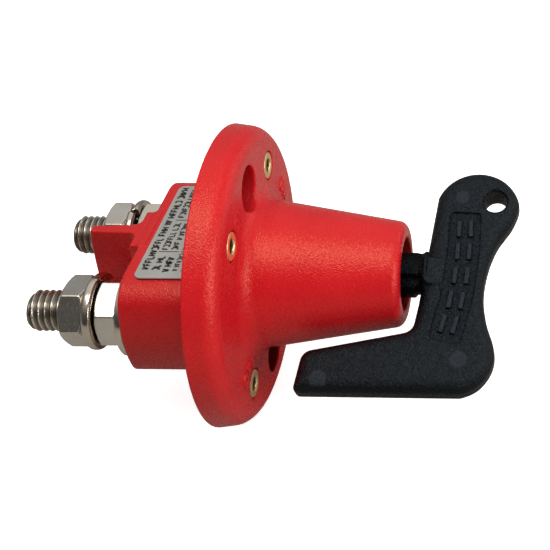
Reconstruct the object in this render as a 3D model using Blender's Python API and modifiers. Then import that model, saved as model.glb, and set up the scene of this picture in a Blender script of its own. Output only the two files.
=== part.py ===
"""Battery disconnect switch with a removable key.

One frame for everything: the origin is on the key's turning axis, at the middle
of the switch's overall length, 13.45 mm in front of the flange's rear face. -Y
is the front (key side), +Y is the rear (terminal side), +Z is up (the label
side of the rear case) and +X is to the right seen from the front.

Inside this file every piece is drawn in the switch's own turning frame
(x = world X, y = world Z, z = distance in front of the flange's rear face,
called u), and hangs on an empty that lays that frame along the world's -Y.

Sizes are in mm. In names, R is a radius, U a place along the axis (U0 the rear
end, U1 the front end), T a thickness, D a depth, HX and HZ half widths, and PCR
a pitch circle's radius. Angles are in degrees, counter-clockwise seen from the
front. Helper names begin with join, cut or trim for what they do to a piece.
"""
import math

import bmesh
import bpy
from mathutils import Vector

MM = 0.001

# -------------------------------------------------------- shared dimensions
GAP = 0.3                      # clearance between neighbouring pieces
PAST = 1.0                     # how far a cutter runs past the face it opens
ORIGIN_U = 13.45               # how far the origin is in front of the flange's rear face

FLANGE_T = 7.5
RECESS_D = 3.2                 # seat for the rear case, behind the flange
DISC_U1 = RECESS_D - GAP       # front face of the rear case's disc

RIVET_PCR = 26.57
RIVET_ANGLES = (49.2, 127.6, 227.4, 308.0)
RIVET_HEAD_R = 3.34
RIVET_BODY_R = 2.2
MOUNT_HOLE_PCR = 24.8
MOUNT_HOLE_ANGLES = (88.0, 268.0)
MOUNT_HOLE_R = 2.75

CASE_HZ = 13.5
SHOULDER_U = -18.4             # rear face of the case's box
CAVITY_HX = 19.5
CAVITY_HZ = 10.4
FLOOR_U = -11.5                # floor of the cavity

STUD_X = 14.41
STUD_R = 4.72
STUD_PLACES = {"left": (-STUD_X, 0, 0), "right": (STUD_X, 0, 0)}
WASHER_R = 10.3

KEY_ANGLE = 205.6              # where the key's arm points, from +X
KEY_TURN = (0, 0, math.radians(KEY_ANGLE))
SHAFT_R = 5.8
SHAFT_U0 = 21.2
SHAFT_BORE_R = SHAFT_R + 0.35
LUG_R = 8.0
LUG_W = 4.0

ROTOR_U0 = 13.0
FOLLOWER_ANGLE = 0.0
FOLLOWER_HALF = 6.0            # half the angle from one cam ramp's start to the other's end

STAND_UP = (math.pi / 2, 0, 0)     # lays an outline's y along u

# ------------------------------------------------------------------- set-up
for old in list(bpy.data.objects):
    bpy.data.objects.remove(old, do_unlink=True)

scene = bpy.context.scene
PARTS = bpy.data.collections.new("battery_switch")
CUTTERS = bpy.data.collections.new("battery_switch_cutters")
scene.collection.children.link(PARTS)
scene.collection.children.link(CUTTERS)


def empty(name, loc=(0, 0, 0), rot=(0, 0, 0), parent=None):
    ob = bpy.data.objects.new(name, None)
    ob.empty_display_size = 0.01
    ob.location = loc
    ob.rotation_euler = rot
    ob.parent = parent
    PARTS.objects.link(ob)
    return ob


FRAME = empty("switch_frame", loc=(0, ORIGIN_U * MM, 0), rot=(math.pi / 2, 0, 0))
TURN = empty("turning_axis", parent=FRAME)           # key and rotor turn about this


# ---------------------------------------------------------------- materials
def material(name, color, roughness, metallic=0.0):
    mat = bpy.data.materials.new(name)
    mat.use_nodes = True
    shader = mat.node_tree.nodes["Principled BSDF"]
    shader.inputs["Base Color"].default_value = (*color, 1.0)
    shader.inputs["Roughness"].default_value = roughness
    shader.inputs["Metallic"].default_value = metallic
    return mat


RED = material("red_moulding", color=(0.62, 0.022, 0.028), roughness=0.42)
BLACK = material("black_moulding", color=(0.018, 0.022, 0.026), roughness=0.48)
SILVER = material("label_foil", color=(0.40, 0.41, 0.40), roughness=0.45, metallic=0.3)
PLATED = material("plated_steel", color=(0.62, 0.59, 0.55), roughness=0.26, metallic=1.0)
BRASS = material("brass", color=(0.60, 0.43, 0.20), roughness=0.32, metallic=1.0)
COPPER = material("copper", color=(0.72, 0.36, 0.22), roughness=0.30, metallic=1.0)
CONTACT = material("silver_contact", color=(0.78, 0.78, 0.76), roughness=0.28, metallic=1.0)
SPRING = material("spring_steel", color=(0.50, 0.50, 0.50), roughness=0.30, metallic=1.0)
SEAL = material("seal_rubber", color=(0.02, 0.02, 0.02), roughness=0.75)
INNER = material("inner_moulding", color=(0.70, 0.68, 0.62), roughness=0.5)


# ------------------------------------------------------------ plane geometry
def polar(radius, degrees):
    angle = math.radians(degrees)
    return radius * math.cos(angle), radius * math.sin(angle)


def around(radius, angles):
    """Places on a circle about the turning axis."""
    return [(*polar(radius, angle), 0) for angle in angles]


RIVET_PLACES = around(RIVET_PCR, RIVET_ANGLES)
MOUNT_PLACES = around(MOUNT_HOLE_PCR, MOUNT_HOLE_ANGLES)


def both(half):
    """The range from -half to half."""
    return -half, half


def arc(centre_x, centre_y, radius, start, end, steps):
    """Points on an arc, both ends included, angles in degrees."""
    points = []
    for i in range(steps + 1):
        x, y = polar(radius, start + (end - start) * i / steps)
        points.append((centre_x + x, centre_y + y))
    return points


def filleted(corners, segments=3):
    """Round each (x, y, radius) corner of a closed outline; radius 0 stays sharp."""
    out = []
    for i, (x, y, radius) in enumerate(corners):
        here = Vector((x, y))
        if radius <= 0:
            out.append((x, y))
            continue
        before = (Vector(corners[i - 1][:2]) - here).normalized()
        after = (Vector(corners[(i + 1) % len(corners)][:2]) - here).normalized()
        half = before.angle(after) / 2
        reach = radius / math.tan(half)
        centre = here + (before + after).normalized() * (radius / math.sin(half))
        start = here + before * reach - centre
        end = here + after * reach - centre
        first = math.atan2(start.y, start.x)
        sweep = math.atan2(start.x * end.y - start.y * end.x, start.dot(end))
        for k in range(segments + 1):
            angle = first + sweep * k / segments
            out.append((centre.x + radius * math.cos(angle), centre.y + radius * math.sin(angle)))
    return out


# ------------------------------------------------------------- solid shapes
def place(name, mesh, mat=None, loc=(0, 0, 0), rot=(0, 0, 0), parent=FRAME, smooth=True):
    """Link a mesh as a part, or as a hidden helper when it has no material. loc is in mm."""
    ob = bpy.data.objects.new(name, mesh)
    ob.location = Vector(loc) * MM
    ob.rotation_euler = rot
    ob.parent = parent
    if mat is None:
        CUTTERS.objects.link(ob)
        ob.hide_render = True
        ob.display_type = "WIRE"
    else:
        PARTS.objects.link(ob)
        mesh.materials.append(mat)
        if smooth:
            mesh.shade_smooth()
            mesh.set_sharp_from_angle(angle=math.radians(35))
    return ob


def finish_bm(bm, name):
    bmesh.ops.recalc_face_normals(bm, faces=bm.faces)
    mesh = bpy.data.meshes.new(name)
    bm.to_mesh(mesh)
    bm.free()
    return mesh


def turned(name, profile, segments, mat=None, ring=False, **where):
    """A turned shape. profile is (r, u), from the front end down its outer side."""
    mesh = bpy.data.meshes.new(name)
    last = len(profile) - 1
    edges = [(i, i + 1) for i in range(last)]
    if ring:
        edges.append((last, 0))
    mesh.from_pydata([(r * MM, 0, u * MM) for r, u in profile], edges, [])
    ob = place(name, mesh, mat, smooth=False, **where)
    mod = ob.modifiers.new("turn", "SCREW")
    mod.axis = "Z"
    mod.angle = 2 * math.pi
    mod.steps = mod.render_steps = segments
    mod.use_merge_vertices = True
    mod.merge_threshold = 0.00001
    mod.use_smooth_shade = False
    return ob


def plain_ring(name, r0, r1, u0, u1, segments, mat):
    return turned(name, [(r0, u1), (r1, u1), (r1, u0), (r0, u0)], segments, mat, ring=True)


def chamfered_ring(name, r0, r1, levels, segments, mat, loc, chamfer):
    """A ring between two levels (rear, front) with its outer edges chamfered."""
    u0, u1 = levels
    profile = [(r0, u1), (r1 - chamfer, u1), (r1, u1 - chamfer),
               (r1, u0 + chamfer), (r1 - chamfer, u0), (r0, u0)]
    return turned(name, profile, segments, mat, ring=True, loc=loc)


def cylinder(name, radius, u0, u1, segments, mat=None, **where):
    bm = bmesh.new()
    bmesh.ops.create_cone(bm, cap_ends=True, segments=segments, radius1=radius * MM,
                          radius2=radius * MM, depth=(u1 - u0) * MM)
    bmesh.ops.translate(bm, verts=bm.verts, vec=(0, 0, (u0 + u1) / 2 * MM))
    return place(name, finish_bm(bm, name), mat, **where)


def block(name, x, y, u, mat=None, corner=0.0, **where):
    """A box from its (low, high) ranges, with its edges along u rounded."""
    bm = bmesh.new()
    bmesh.ops.create_cube(bm, size=1.0)
    size = [(high - low) * MM for low, high in (x, y, u)]
    middle = [(high + low) / 2 * MM for low, high in (x, y, u)]
    bmesh.ops.scale(bm, vec=size, verts=bm.verts)
    bmesh.ops.translate(bm, vec=middle, verts=bm.verts)
    if corner:
        along_u = [e for e in bm.edges
                   if abs((e.verts[0].co - e.verts[1].co).normalized().z) > 0.9]
        bmesh.ops.bevel(bm, geom=along_u, offset=corner * MM, segments=2,
                        profile=0.5, affect="EDGES")
    return place(name, finish_bm(bm, name), mat, **where)


def curve_to_part(name, curve, mat=None, **where):
    """Turn a curve into a welded mesh, so that it can be cut or joined."""
    source = bpy.data.objects.new(name + "_curve", curve)
    scene.collection.objects.link(source)
    graph = bpy.context.evaluated_depsgraph_get()
    mesh = bpy.data.meshes.new_from_object(source.evaluated_get(graph))
    bpy.data.objects.remove(source, do_unlink=True)
    bm = bmesh.new()
    bm.from_mesh(mesh)
    bmesh.ops.remove_doubles(bm, verts=bm.verts, dist=0.000001)
    bmesh.ops.dissolve_limit(bm, angle_limit=0.001, verts=bm.verts, edges=bm.edges)
    bmesh.ops.recalc_face_normals(bm, faces=bm.faces)
    bm.to_mesh(mesh)
    bm.free()
    mesh.name = name
    mesh.materials.clear()
    return place(name, mesh, mat, **where)


def outline_solid(name, points, half, mat=None, **where):
    """A flat outline in its own XY plane, extruded by half its thickness each way."""
    curve = bpy.data.curves.new(name, "CURVE")
    curve.dimensions = "2D"
    curve.fill_mode = "BOTH"
    curve.extrude = half * MM
    spline = curve.splines.new("POLY")
    spline.points.add(len(points) - 1)
    for point, (x, y) in zip(spline.points, points):
        point.co = (x * MM, y * MM, 0, 1)
    spline.use_cyclic_u = True
    return curve_to_part(name, curve, mat, **where)


def ramp_sector(name, radii, angles, top, lows, steps):
    """A sector of a ring whose underside changes steadily between two levels: a face cam."""
    r0, r1 = radii
    bm = bmesh.new()
    rows = []
    for i in range(steps + 1):
        t = i / steps
        x, y = polar(1.0, angles[0] + (angles[1] - angles[0]) * t)
        low = lows[0] + (lows[1] - lows[0]) * t
        rows.append([bm.verts.new((r * x * MM, r * y * MM, u * MM))
                     for r, u in ((r0, low), (r1, low), (r1, top), (r0, top))])
    for row, following in zip(rows, rows[1:]):
        for k in range(4):
            after = (k + 1) % 4
            bm.faces.new((row[k], row[after], following[after], following[k]))
    bm.faces.new(rows[0][::-1])
    bm.faces.new(rows[-1])
    return place(name, finish_bm(bm, name))


# ---------------------------------------------------------------- modifiers
def boolean(ob, operation, tools):
    for tool in tools:
        mod = ob.modifiers.new(operation.lower() + "_" + tool.name, "BOOLEAN")
        mod.operation = operation
        mod.solver = "EXACT"
        mod.object = tool


def cut(ob, *tools):
    boolean(ob, "DIFFERENCE", tools)


def join(ob, *tools):
    boolean(ob, "UNION", tools)


def bevel(ob, name, width, segments, angle):
    mod = ob.modifiers.new(name, "BEVEL")
    mod.width = width * MM
    mod.segments = segments
    mod.limit_method = "ANGLE"
    mod.angle_limit = math.radians(angle)


# ------------------------------------------------------------ front housing
# Flange and tapered barrel in one moulding, bored for the key from the front
# and for the rotor from the rear, with a shallow seat behind for the rear case.
FLANGE_R_REAR = 36.9
FLANGE_R_FRONT = 35.9
FLANGE_EDGE = 3.9
BARREL_R_ROOT = 18.5
BARREL_FILLET = 3.2
BARREL_R_TIP = 12.7
BARREL_U = 43.1
BARREL_EDGE = 2.0
MOUTH_R = 9.0
MOUTH_FLOOR_U = 30.0
WALL_U0 = 26.0                 # rear of the wall between the mouth and the rotor's chamber
CHAMBER_R = 10.6
RECESS_R = 33.0
KEYWAY_END_GAP = 0.5
KEYWAY_SIDE_GAP = 0.35
RIVET_SEAT_GAP = 0.35
RIVET_SEAT_D = 0.45
RIVET_SEAT_RISE = 2            # how far these two cutters rise above the flange
MOUNT_CBORE_RISE = 4
MOUNT_CBORE_R = 5.7
MOUNT_CBORE_D = 3.2


def housing_profile():
    slope = (BARREL_R_ROOT - BARREL_R_TIP) / (BARREL_U - FLANGE_T)
    edge_r = BARREL_R_TIP - BARREL_EDGE
    fillet_u = FLANGE_T + BARREL_FILLET
    foot_r = BARREL_R_TIP + slope * (BARREL_U - fillet_u)
    rim_r = FLANGE_R_FRONT - FLANGE_EDGE
    return [
        (MOUTH_R, BARREL_U), (edge_r, BARREL_U),
        *arc(edge_r, BARREL_U - BARREL_EDGE, BARREL_EDGE, 60, 6, 2),
        (foot_r, fillet_u),
        *arc(foot_r + BARREL_FILLET, fillet_u, BARREL_FILLET, 210, 270, 2),
        (rim_r, FLANGE_T),
        *arc(rim_r, FLANGE_T - FLANGE_EDGE, FLANGE_EDGE, 65, 0, 3),
        (FLANGE_R_REAR, 0.0), (RECESS_R, 0.0), (RECESS_R, RECESS_D),
        (CHAMBER_R, RECESS_D), (CHAMBER_R, WALL_U0),
        (SHAFT_BORE_R, WALL_U0), (SHAFT_BORE_R, MOUTH_FLOOR_U), (MOUTH_R, MOUTH_FLOOR_U),
    ]


def build_front_housing():
    housing = turned("front_housing", housing_profile(), 60, RED, ring=True)
    cut(housing, block("cut_keyway", both(LUG_R + KEYWAY_END_GAP),
                       both(LUG_W / 2 + KEYWAY_SIDE_GAP),
                       (WALL_U0 - PAST, MOUTH_FLOOR_U + PAST), rot=KEY_TURN))
    for i, at in enumerate(RIVET_PLACES, 1):
        cut(housing,
            cylinder(f"cut_rivet_seat_{i}", RIVET_HEAD_R + RIVET_SEAT_GAP,
                     FLANGE_T - RIVET_SEAT_D, FLANGE_T + RIVET_SEAT_RISE, 24, loc=at),
            cylinder(f"cut_rivet_hole_{i}", RIVET_BODY_R + GAP, -PAST, FLANGE_T + PAST, 16,
                     loc=at))
    for i, at in enumerate(MOUNT_PLACES, 1):
        cut(housing,
            cylinder(f"cut_screw_head_{i}", MOUNT_CBORE_R, FLANGE_T - MOUNT_CBORE_D,
                     FLANGE_T + MOUNT_CBORE_RISE, 32, loc=at),
            cylinder(f"cut_screw_hole_{i}", MOUNT_HOLE_R, -PAST, FLANGE_T + PAST, 20, loc=at))


# ---------------------------------------------------------------- rear case
# A disc that sits in the flange's seat, carrying a box for the contacts, a
# land and a barrier wall between the two terminals.
DISC_R = 32.7
CASE_END_R = 25.3              # the box's ends are bowed about the turning axis
CASE_CORNER = 4.5
CASE_BOX_U1 = 0.8              # the box reaches this far into the disc
JOIN_OVERLAP = 0.5             # how far the land and the barrier reach into what carries them
LAND_HX = 6.7
LAND_INSET = 0.15
LAND_U = -20.7
BARRIER_T_ROOT = 3.4
BARRIER_T_TIP = 2.4
BARRIER_U = -32.0
BARRIER_INSET = 0.3
WASHER_SEAT_GAP = 0.4
WASHER_SEAT_D = 0.04
CAVITY_CORNER = 1.6
GASKET_SEAT_MARGIN = 1.1       # seat's width round the cavity
GASKET_SEAT_D = 1.1
GASKET_SEAT_CORNER = 2.6
STUD_HOLE_GAP = 0.15
SEAL_SEAT_R = STUD_R + 2.0
SEAL_SEAT_D = 1.2


def case_outline():
    """The box's flat top and bottom, bowed ends and round corners."""
    y = CASE_HZ - CASE_CORNER
    x = math.sqrt((CASE_END_R - CASE_CORNER) ** 2 - y ** 2)
    angle = math.degrees(math.atan2(y, x))
    right = [*arc(x, -y, CASE_CORNER, -90, -angle, 5),
             *arc(0, 0, CASE_END_R, -angle, angle, 8)[1:-1],
             *arc(x, y, CASE_CORNER, angle, 90, 5)]
    return right + [(-x, -y) for x, y in right]


def build_rear_case():
    case = cylinder("rear_case", DISC_R, 0.0, DISC_U1, 60, RED, smooth=False)
    join(case,
         outline_solid("join_case_box", case_outline(), (CASE_BOX_U1 - SHOULDER_U) / 2,
                       loc=(0, 0, (CASE_BOX_U1 + SHOULDER_U) / 2)),
         block("join_land", both(LAND_HX), both(CASE_HZ - LAND_INSET),
               (LAND_U, SHOULDER_U + JOIN_OVERLAP)))
    for side, at in STUD_PLACES.items():
        cut(case, cylinder(f"cut_washer_seat_{side}", WASHER_R + WASHER_SEAT_GAP,
                           LAND_U - PAST, SHOULDER_U - WASHER_SEAT_D, 48, loc=at))

    root_u = LAND_U + JOIN_OVERLAP
    wall = [(BARRIER_T_ROOT / 2, root_u), (BARRIER_T_TIP / 2, BARRIER_U),
            (-BARRIER_T_TIP / 2, BARRIER_U), (-BARRIER_T_ROOT / 2, root_u)]
    join(case, outline_solid("join_barrier", wall, CASE_HZ - BARRIER_INSET, rot=STAND_UP))
    cut(case,
        block("cut_cavity", both(CAVITY_HX), both(CAVITY_HZ), (FLOOR_U, RECESS_D + PAST),
              corner=CAVITY_CORNER),
        block("cut_gasket_seat", both(CAVITY_HX + GASKET_SEAT_MARGIN),
              both(CAVITY_HZ + GASKET_SEAT_MARGIN),
              (DISC_U1 - GASKET_SEAT_D, RECESS_D + PAST), corner=GASKET_SEAT_CORNER))

    for i, at in enumerate(RIVET_PLACES, 1):
        cut(case, cylinder(f"cut_case_rivet_{i}", RIVET_BODY_R + GAP, -PAST, RECESS_D + PAST,
                           16, loc=at))
    for i, at in enumerate(MOUNT_PLACES, 1):
        cut(case, cylinder(f"cut_case_screw_{i}", MOUNT_HOLE_R, -PAST, RECESS_D + PAST,
                           20, loc=at))
    for side, at in STUD_PLACES.items():
        cut(case,
            cylinder(f"cut_stud_hole_{side}", STUD_R + STUD_HOLE_GAP, SHOULDER_U - PAST,
                     FLOOR_U + PAST, 28, loc=at),
            cylinder(f"cut_seal_seat_{side}", SEAL_SEAT_R, FLOOR_U - SEAL_SEAT_D,
                     FLOOR_U + PAST, 24, loc=at))


# ---------------------------------------------------------- gasket and label
GASKET_MARGIN = 0.85           # outside edge, beyond the cavity
GASKET_OVERHANG = 0.1          # inside edge, within the cavity
GASKET_U = (DISC_U1 - 0.95, RECESS_D - 0.15)
GASKET_CORNER = 2.4
GASKET_HOLE_CORNER = 1.5
GASKET_CUT_D = 3

LABEL_X = (-18.6, 17.0)
LABEL_U = (-16.2, -0.5)
LABEL_CORNER = 1.8
LABEL_HALF_T = 0.15
LABEL_LIFT = 0.2               # mid-thickness above the box's top


def build_case_gasket():
    """Gasket round the box's mouth, in the rear case's seat."""
    gasket = block("case_gasket", both(CAVITY_HX + GASKET_MARGIN),
                   both(CAVITY_HZ + GASKET_MARGIN), GASKET_U, SEAL,
                   corner=GASKET_CORNER, smooth=False)
    cut(gasket, block("cut_gasket", both(CAVITY_HX - GASKET_OVERHANG),
                      both(CAVITY_HZ - GASKET_OVERHANG),
                      (RECESS_D - GASKET_CUT_D, RECESS_D + PAST), corner=GASKET_HOLE_CORNER))


def build_label_plate():
    """Label on the top face of the box."""
    x0, x1 = LABEL_X
    u0, u1 = LABEL_U
    corners = [(x, u, LABEL_CORNER) for x, u in ((x0, u0), (x1, u0), (x1, u1), (x0, u1))]
    outline_solid("label_plate", filleted(corners), LABEL_HALF_T, SILVER,
                  loc=(0, CASE_HZ + LABEL_LIFT, 0), rot=STAND_UP, smooth=False)


# ------------------------------------------------------------------ eyelets
# Hollow rivets: rolled head in front, flared tail behind.
RIVET_BORE_R = 1.55
RIVET_TAIL_U1 = -0.15
# columns: r, u
EYELET_PROFILE = [
    (RIVET_BORE_R, FLANGE_T - 0.05), (RIVET_BORE_R + 0.55, FLANGE_T + 0.2),
    (RIVET_HEAD_R - 0.5, FLANGE_T + 0.15), (RIVET_HEAD_R, FLANGE_T - 0.12),
    (RIVET_HEAD_R, FLANGE_T - 0.3), (RIVET_BODY_R, FLANGE_T - 0.3),
    (RIVET_BODY_R, RIVET_TAIL_U1), (RIVET_HEAD_R - 0.3, RIVET_TAIL_U1),
    (RIVET_HEAD_R - 0.4, -0.5), (RIVET_BORE_R, -0.6),
]


def build_eyelets():
    for i, at in enumerate(RIVET_PLACES, 1):
        turned(f"eyelet_{i}", EYELET_PROFILE, 16, BRASS, ring=True, loc=at)


# ---------------------------------------------------------------- terminals
# Two studs with 3/8"-16 thread, each with a seal inside the case and a stack of
# washers and nuts behind it.
STUD_TIP_U = -43.0
STUD_TIP_CHAMFER = 1.0
STUD_TOP_RISE = 1.5            # the stud's front end above the cavity floor
STUD_NECK_R = STUD_R - 0.25
THREAD_PITCH = 1.5875
THREAD_DEPTH = 0.85
THREAD_START = 0.5             # first crest behind the outer nut
THREAD_END = 1.2               # plain length kept at the tip
STUD_HEAD_X = 9.2
STUD_HEAD_Y = 15.0
STUD_HEAD_T = 3.0
STUD_HEAD_U0 = FLOOR_U + 0.2
STUD_HEAD_CORNER = 1.0
RING_BORE_R = STUD_R + 0.25    # bore of the seals and washers
SEAL_R = STUD_R + 1.75
SEAL_U = (FLOOR_U - 1.0, FLOOR_U + 0.05)
LOCK_R = 9.05
NUT_AF = 14.29                 # across the flats
NUT_T = 5.6
NUT_BORE_GAP = 0.12
NUT_CHAMFER = 0.95             # along the axis
STACK_GAP = 0.12
# columns: piece, thickness; from the shoulder rearward
STACK_PIECES = (("flat_washer", 1.6), ("inner_nut", NUT_T),
                ("lock_washer", 2.5), ("outer_nut", NUT_T))
NUT_TURN = {"left": (59.0, 25.0), "right": (40.5, 33.5)}     # inner nut, outer nut
SLIT_TURN = {"left": 150, "right": 60}
SLIT_SLANT = 38
SLIT_X = (3.0, 11.0)
SLIT_HALF_WIDTH = 0.55
SLIT_HALF_DEPTH = 3


def stack_levels():
    """Rear and front faces of each piece of the stack, working back from the shoulder."""
    levels = {}
    u = SHOULDER_U
    for name, thickness in STACK_PIECES:
        u -= STACK_GAP
        levels[name] = (u - thickness, u)
        u -= thickness
    return levels


STACK = stack_levels()


def stud_profile():
    """Front end, inside the case, to tip; the exposed end carries turned thread grooves."""
    points = [(0, FLOOR_U + STUD_TOP_RISE), (STUD_NECK_R, FLOOR_U + STUD_TOP_RISE),
              (STUD_NECK_R, FLOOR_U + 0.1), (STUD_R, FLOOR_U - 0.3)]
    first = STACK["outer_nut"][0] - THREAD_START
    count = int((first - STUD_TIP_U - THREAD_END) / THREAD_PITCH)
    for k in range(count):
        u = first - k * THREAD_PITCH
        points += [(STUD_R, u), (STUD_R - THREAD_DEPTH, u - THREAD_PITCH * 0.5)]
    points += [(STUD_R, first - count * THREAD_PITCH), (STUD_R, STUD_TIP_U + STUD_TIP_CHAMFER),
               (STUD_R - STUD_TIP_CHAMFER, STUD_TIP_U), (0, STUD_TIP_U)]
    return points


def build_stud(side, at):
    stud = turned("stud_" + side, stud_profile(), 28, PLATED, loc=at)
    join(stud, block("join_stud_head_" + side, both(STUD_HEAD_X / 2), both(STUD_HEAD_Y / 2),
                     (STUD_HEAD_U0, STUD_HEAD_U0 + STUD_HEAD_T),
                     corner=STUD_HEAD_CORNER, loc=at))


def build_hex_nut(name, levels, turn, at):
    u0, u1 = levels
    corner_r = NUT_AF / math.sqrt(3)
    trim_r = corner_r + 0.1
    face_r = NUT_AF / 2 - 0.2
    nut = cylinder(name, corner_r, u0, u1, 6, PLATED, loc=at, rot=(0, 0, math.radians(turn)))
    # a double cone chamfers the nut's corners at both ends
    cone = [(0, u1), (face_r, u1), (trim_r, u1 - NUT_CHAMFER),
            (trim_r, u0 + NUT_CHAMFER), (face_r, u0), (0, u0)]
    trim = turned("trim_" + name, cone, 24, loc=at, rot=(0, 0, math.radians(5)))
    boolean(nut, "INTERSECT", [trim])
    cut(nut, cylinder("cut_" + name, STUD_R + NUT_BORE_GAP, u0 - PAST, u1 + PAST, 28, loc=at))


def build_lock_washer(side, at):
    """A ring split by one slanting slit."""
    levels = STACK["lock_washer"]
    washer = chamfered_ring("lock_washer_" + side, RING_BORE_R, LOCK_R, levels, 36,
                            PLATED, at, chamfer=0.2)
    slit = block("cut_slit_" + side, SLIT_X, both(SLIT_HALF_WIDTH), both(SLIT_HALF_DEPTH),
                 loc=(at[0], 0, sum(levels) / 2))
    slit.rotation_mode = "ZYX"
    slit.rotation_euler = (math.radians(SLIT_SLANT), 0, math.radians(SLIT_TURN[side]))
    cut(washer, slit)


def build_terminals():
    for side, at in STUD_PLACES.items():
        inner_turn, outer_turn = NUT_TURN[side]
        build_stud(side, at)
        chamfered_ring("stud_seal_" + side, RING_BORE_R, SEAL_R, SEAL_U, 24, SEAL, at,
                       chamfer=0.3)
        chamfered_ring("flat_washer_" + side, RING_BORE_R, WASHER_R, STACK["flat_washer"], 40,
                       PLATED, at, chamfer=0.25)
        build_hex_nut("inner_nut_" + side, STACK["inner_nut"], inner_turn, at)
        build_lock_washer(side, at)
        build_hex_nut("outer_nut_" + side, STACK["outer_nut"], outer_turn, at)


# ---------------------------------------------------------------------- key
# The plate is drawn in its own plane: x = q (towards the arm), y = p (forward,
# the same as u), then stood up so that p runs along the switch's axis.
KEY_HALF_T = 3.95
KEY_EDGE = 1.3
HEAD_Q, HEAD_P = -16.1, 59.9   # round head over the lanyard hole
HEAD_R = 10.25
LANYARD_Q, LANYARD_P = -19.1, 64.05
LANYARD_R = 3.3
LANYARD_CUT_HALF = 6
# columns: q, p, corner radius
HEAD_CORNER = [(-19.3, 69.65, 0), (-17.3, 70.1, 3.0), (-8.6, 64.8, 0)]
ARM_CORNERS = [(30.4, 56.0, 0), (30.5, 20.2, 1.8), (21.3, 20.9, 1.9),
               (16.2, 46.5, 2.8), (9.0, 47.3, 0)]
PANEL_CORNERS = [(-14.9, 53.6, 0.8), (-15.1, 59.9, 1.2), (-2.9, 61.2, 12.0), (8.0, 60.3, 20.0),
                 (19.8, 56.9, 1.2), (17.6, 51.1, 1.2), (5.0, 53.0, 14.0)]
PANEL_CUT_HALF = 1.0
PANEL_CUT_OUT = 0.5            # cutter's middle, beyond the plate's face
# columns: q, p
NECK_PAD = [(-2.4, 46.6), (-2.4, 52.2), (-0.8, 53.9), (2.8, 53.9), (4.4, 52.2), (4.4, 46.6)]
NECK_PAD_HALF_T = 5.2
NECK_PAD_EDGE = 0.7
SHAFT_U1 = 48.7
SHAFT_CHAMFER = 0.8
SHAFT_FLAT = 4.4               # distance from the axis to the flat, on the side away from the arm
LUG_H = 3.5
SHAFT_CUTS_U0 = SHAFT_U0 + LUG_H + 1.5     # where the flat and the flutes begin
FLAT_U1 = SHAFT_U1 + 0.02
FLUTE_ANGLES = (50, 130, 230, 310)         # from the arm
FLUTE_PCR = SHAFT_R + 0.2
FLUTE_R = 1.5
FLUTE_U1 = 47.0


def key_outline():
    return [
        *arc(HEAD_Q, HEAD_P, HEAD_R, 250, 108, 8),
        *filleted(HEAD_CORNER)[1:-1],
        *arc(4.0, 94.0, 31.9, 247.5, 292.0, 6),      # long hollow of the front edge
        *arc(21.6, 57.0, 8.8, 82, 0, 5),             # round front corner over the arm
        *filleted(ARM_CORNERS)[1:],
    ]


def join_shaft(key):
    """The shaft with its cross lugs, its flat and its four flutes."""
    turning = {"parent": TURN, "rot": KEY_TURN}
    profile = [(0, SHAFT_U1), (SHAFT_R, SHAFT_U1), (SHAFT_R, SHAFT_U0 + SHAFT_CHAMFER),
               (SHAFT_R - SHAFT_CHAMFER, SHAFT_U0), (0, SHAFT_U0)]
    join(key,
         turned("join_key_shaft", profile, 24, **turning),
         block("join_key_lugs", both(LUG_R), both(LUG_W / 2), (SHAFT_U0, SHAFT_U0 + LUG_H),
               **turning))
    cut(key, block("cut_shaft_flat", (-SHAFT_R - PAST, -SHAFT_FLAT), both(SHAFT_R),
                   (SHAFT_CUTS_U0, FLAT_U1), **turning))
    flute_places = around(FLUTE_PCR, [angle + KEY_ANGLE for angle in FLUTE_ANGLES])
    for i, at in enumerate(flute_places, 1):
        cut(key, cylinder(f"cut_flute_{i}", FLUTE_R, SHAFT_CUTS_U0, FLUTE_U1, 8,
                          loc=at, **turning))


def build_key():
    key = outline_solid("key", key_outline(), KEY_HALF_T, BLACK, parent=TURN,
                        rot=(math.pi / 2, 0, math.radians(KEY_ANGLE)))
    bevel(key, "rounded_edges", KEY_EDGE, segments=2, angle=50)
    pad = outline_solid("join_neck_pad", NECK_PAD, NECK_PAD_HALF_T, parent=key)
    bevel(pad, "pad_edge", NECK_PAD_EDGE, segments=1, angle=60)
    join(key, pad)
    join_shaft(key)
    cut(key, cylinder("cut_lanyard", LANYARD_R, *both(LANYARD_CUT_HALF), 20, parent=key,
                      loc=(LANYARD_Q, LANYARD_P, 0)))
    for i, side in enumerate((-1, 1), 1):
        cut(key, outline_solid(f"cut_panel_{i}", filleted(PANEL_CORNERS), PANEL_CUT_HALF,
                               parent=key, loc=(0, 0, side * (KEY_HALF_T + PANEL_CUT_OUT))))


# ------------------------------------------------------------- rotor and seal
ROTOR_R = 10.3
ROTOR_U1 = 24.9
ROTOR_CHAMFER = 0.4
GROOVE_R = 8.2
GROOVE_U = (15.0, 17.4)
LIFT = 3.0                     # travel of the contact bridge over a quarter turn
RAMP_RADII = (6.0, 9.4)
RAMP_OVERLAP = 0.6             # how far the ramps reach into the rotor
RAMP_LEAD = 4                  # degrees left off the ramp's shallow end
RAMP_SWEEP = 90
SOCKET_U = (SHAFT_U0 - 0.5, ROTOR_U1 + PAST)
SLOT_END_GAP = 0.4
SLOT_SIDE_GAP = 0.3
SEAL_RING_R = 9.4
SEAL_RING_WIRE_R = 0.95


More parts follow.
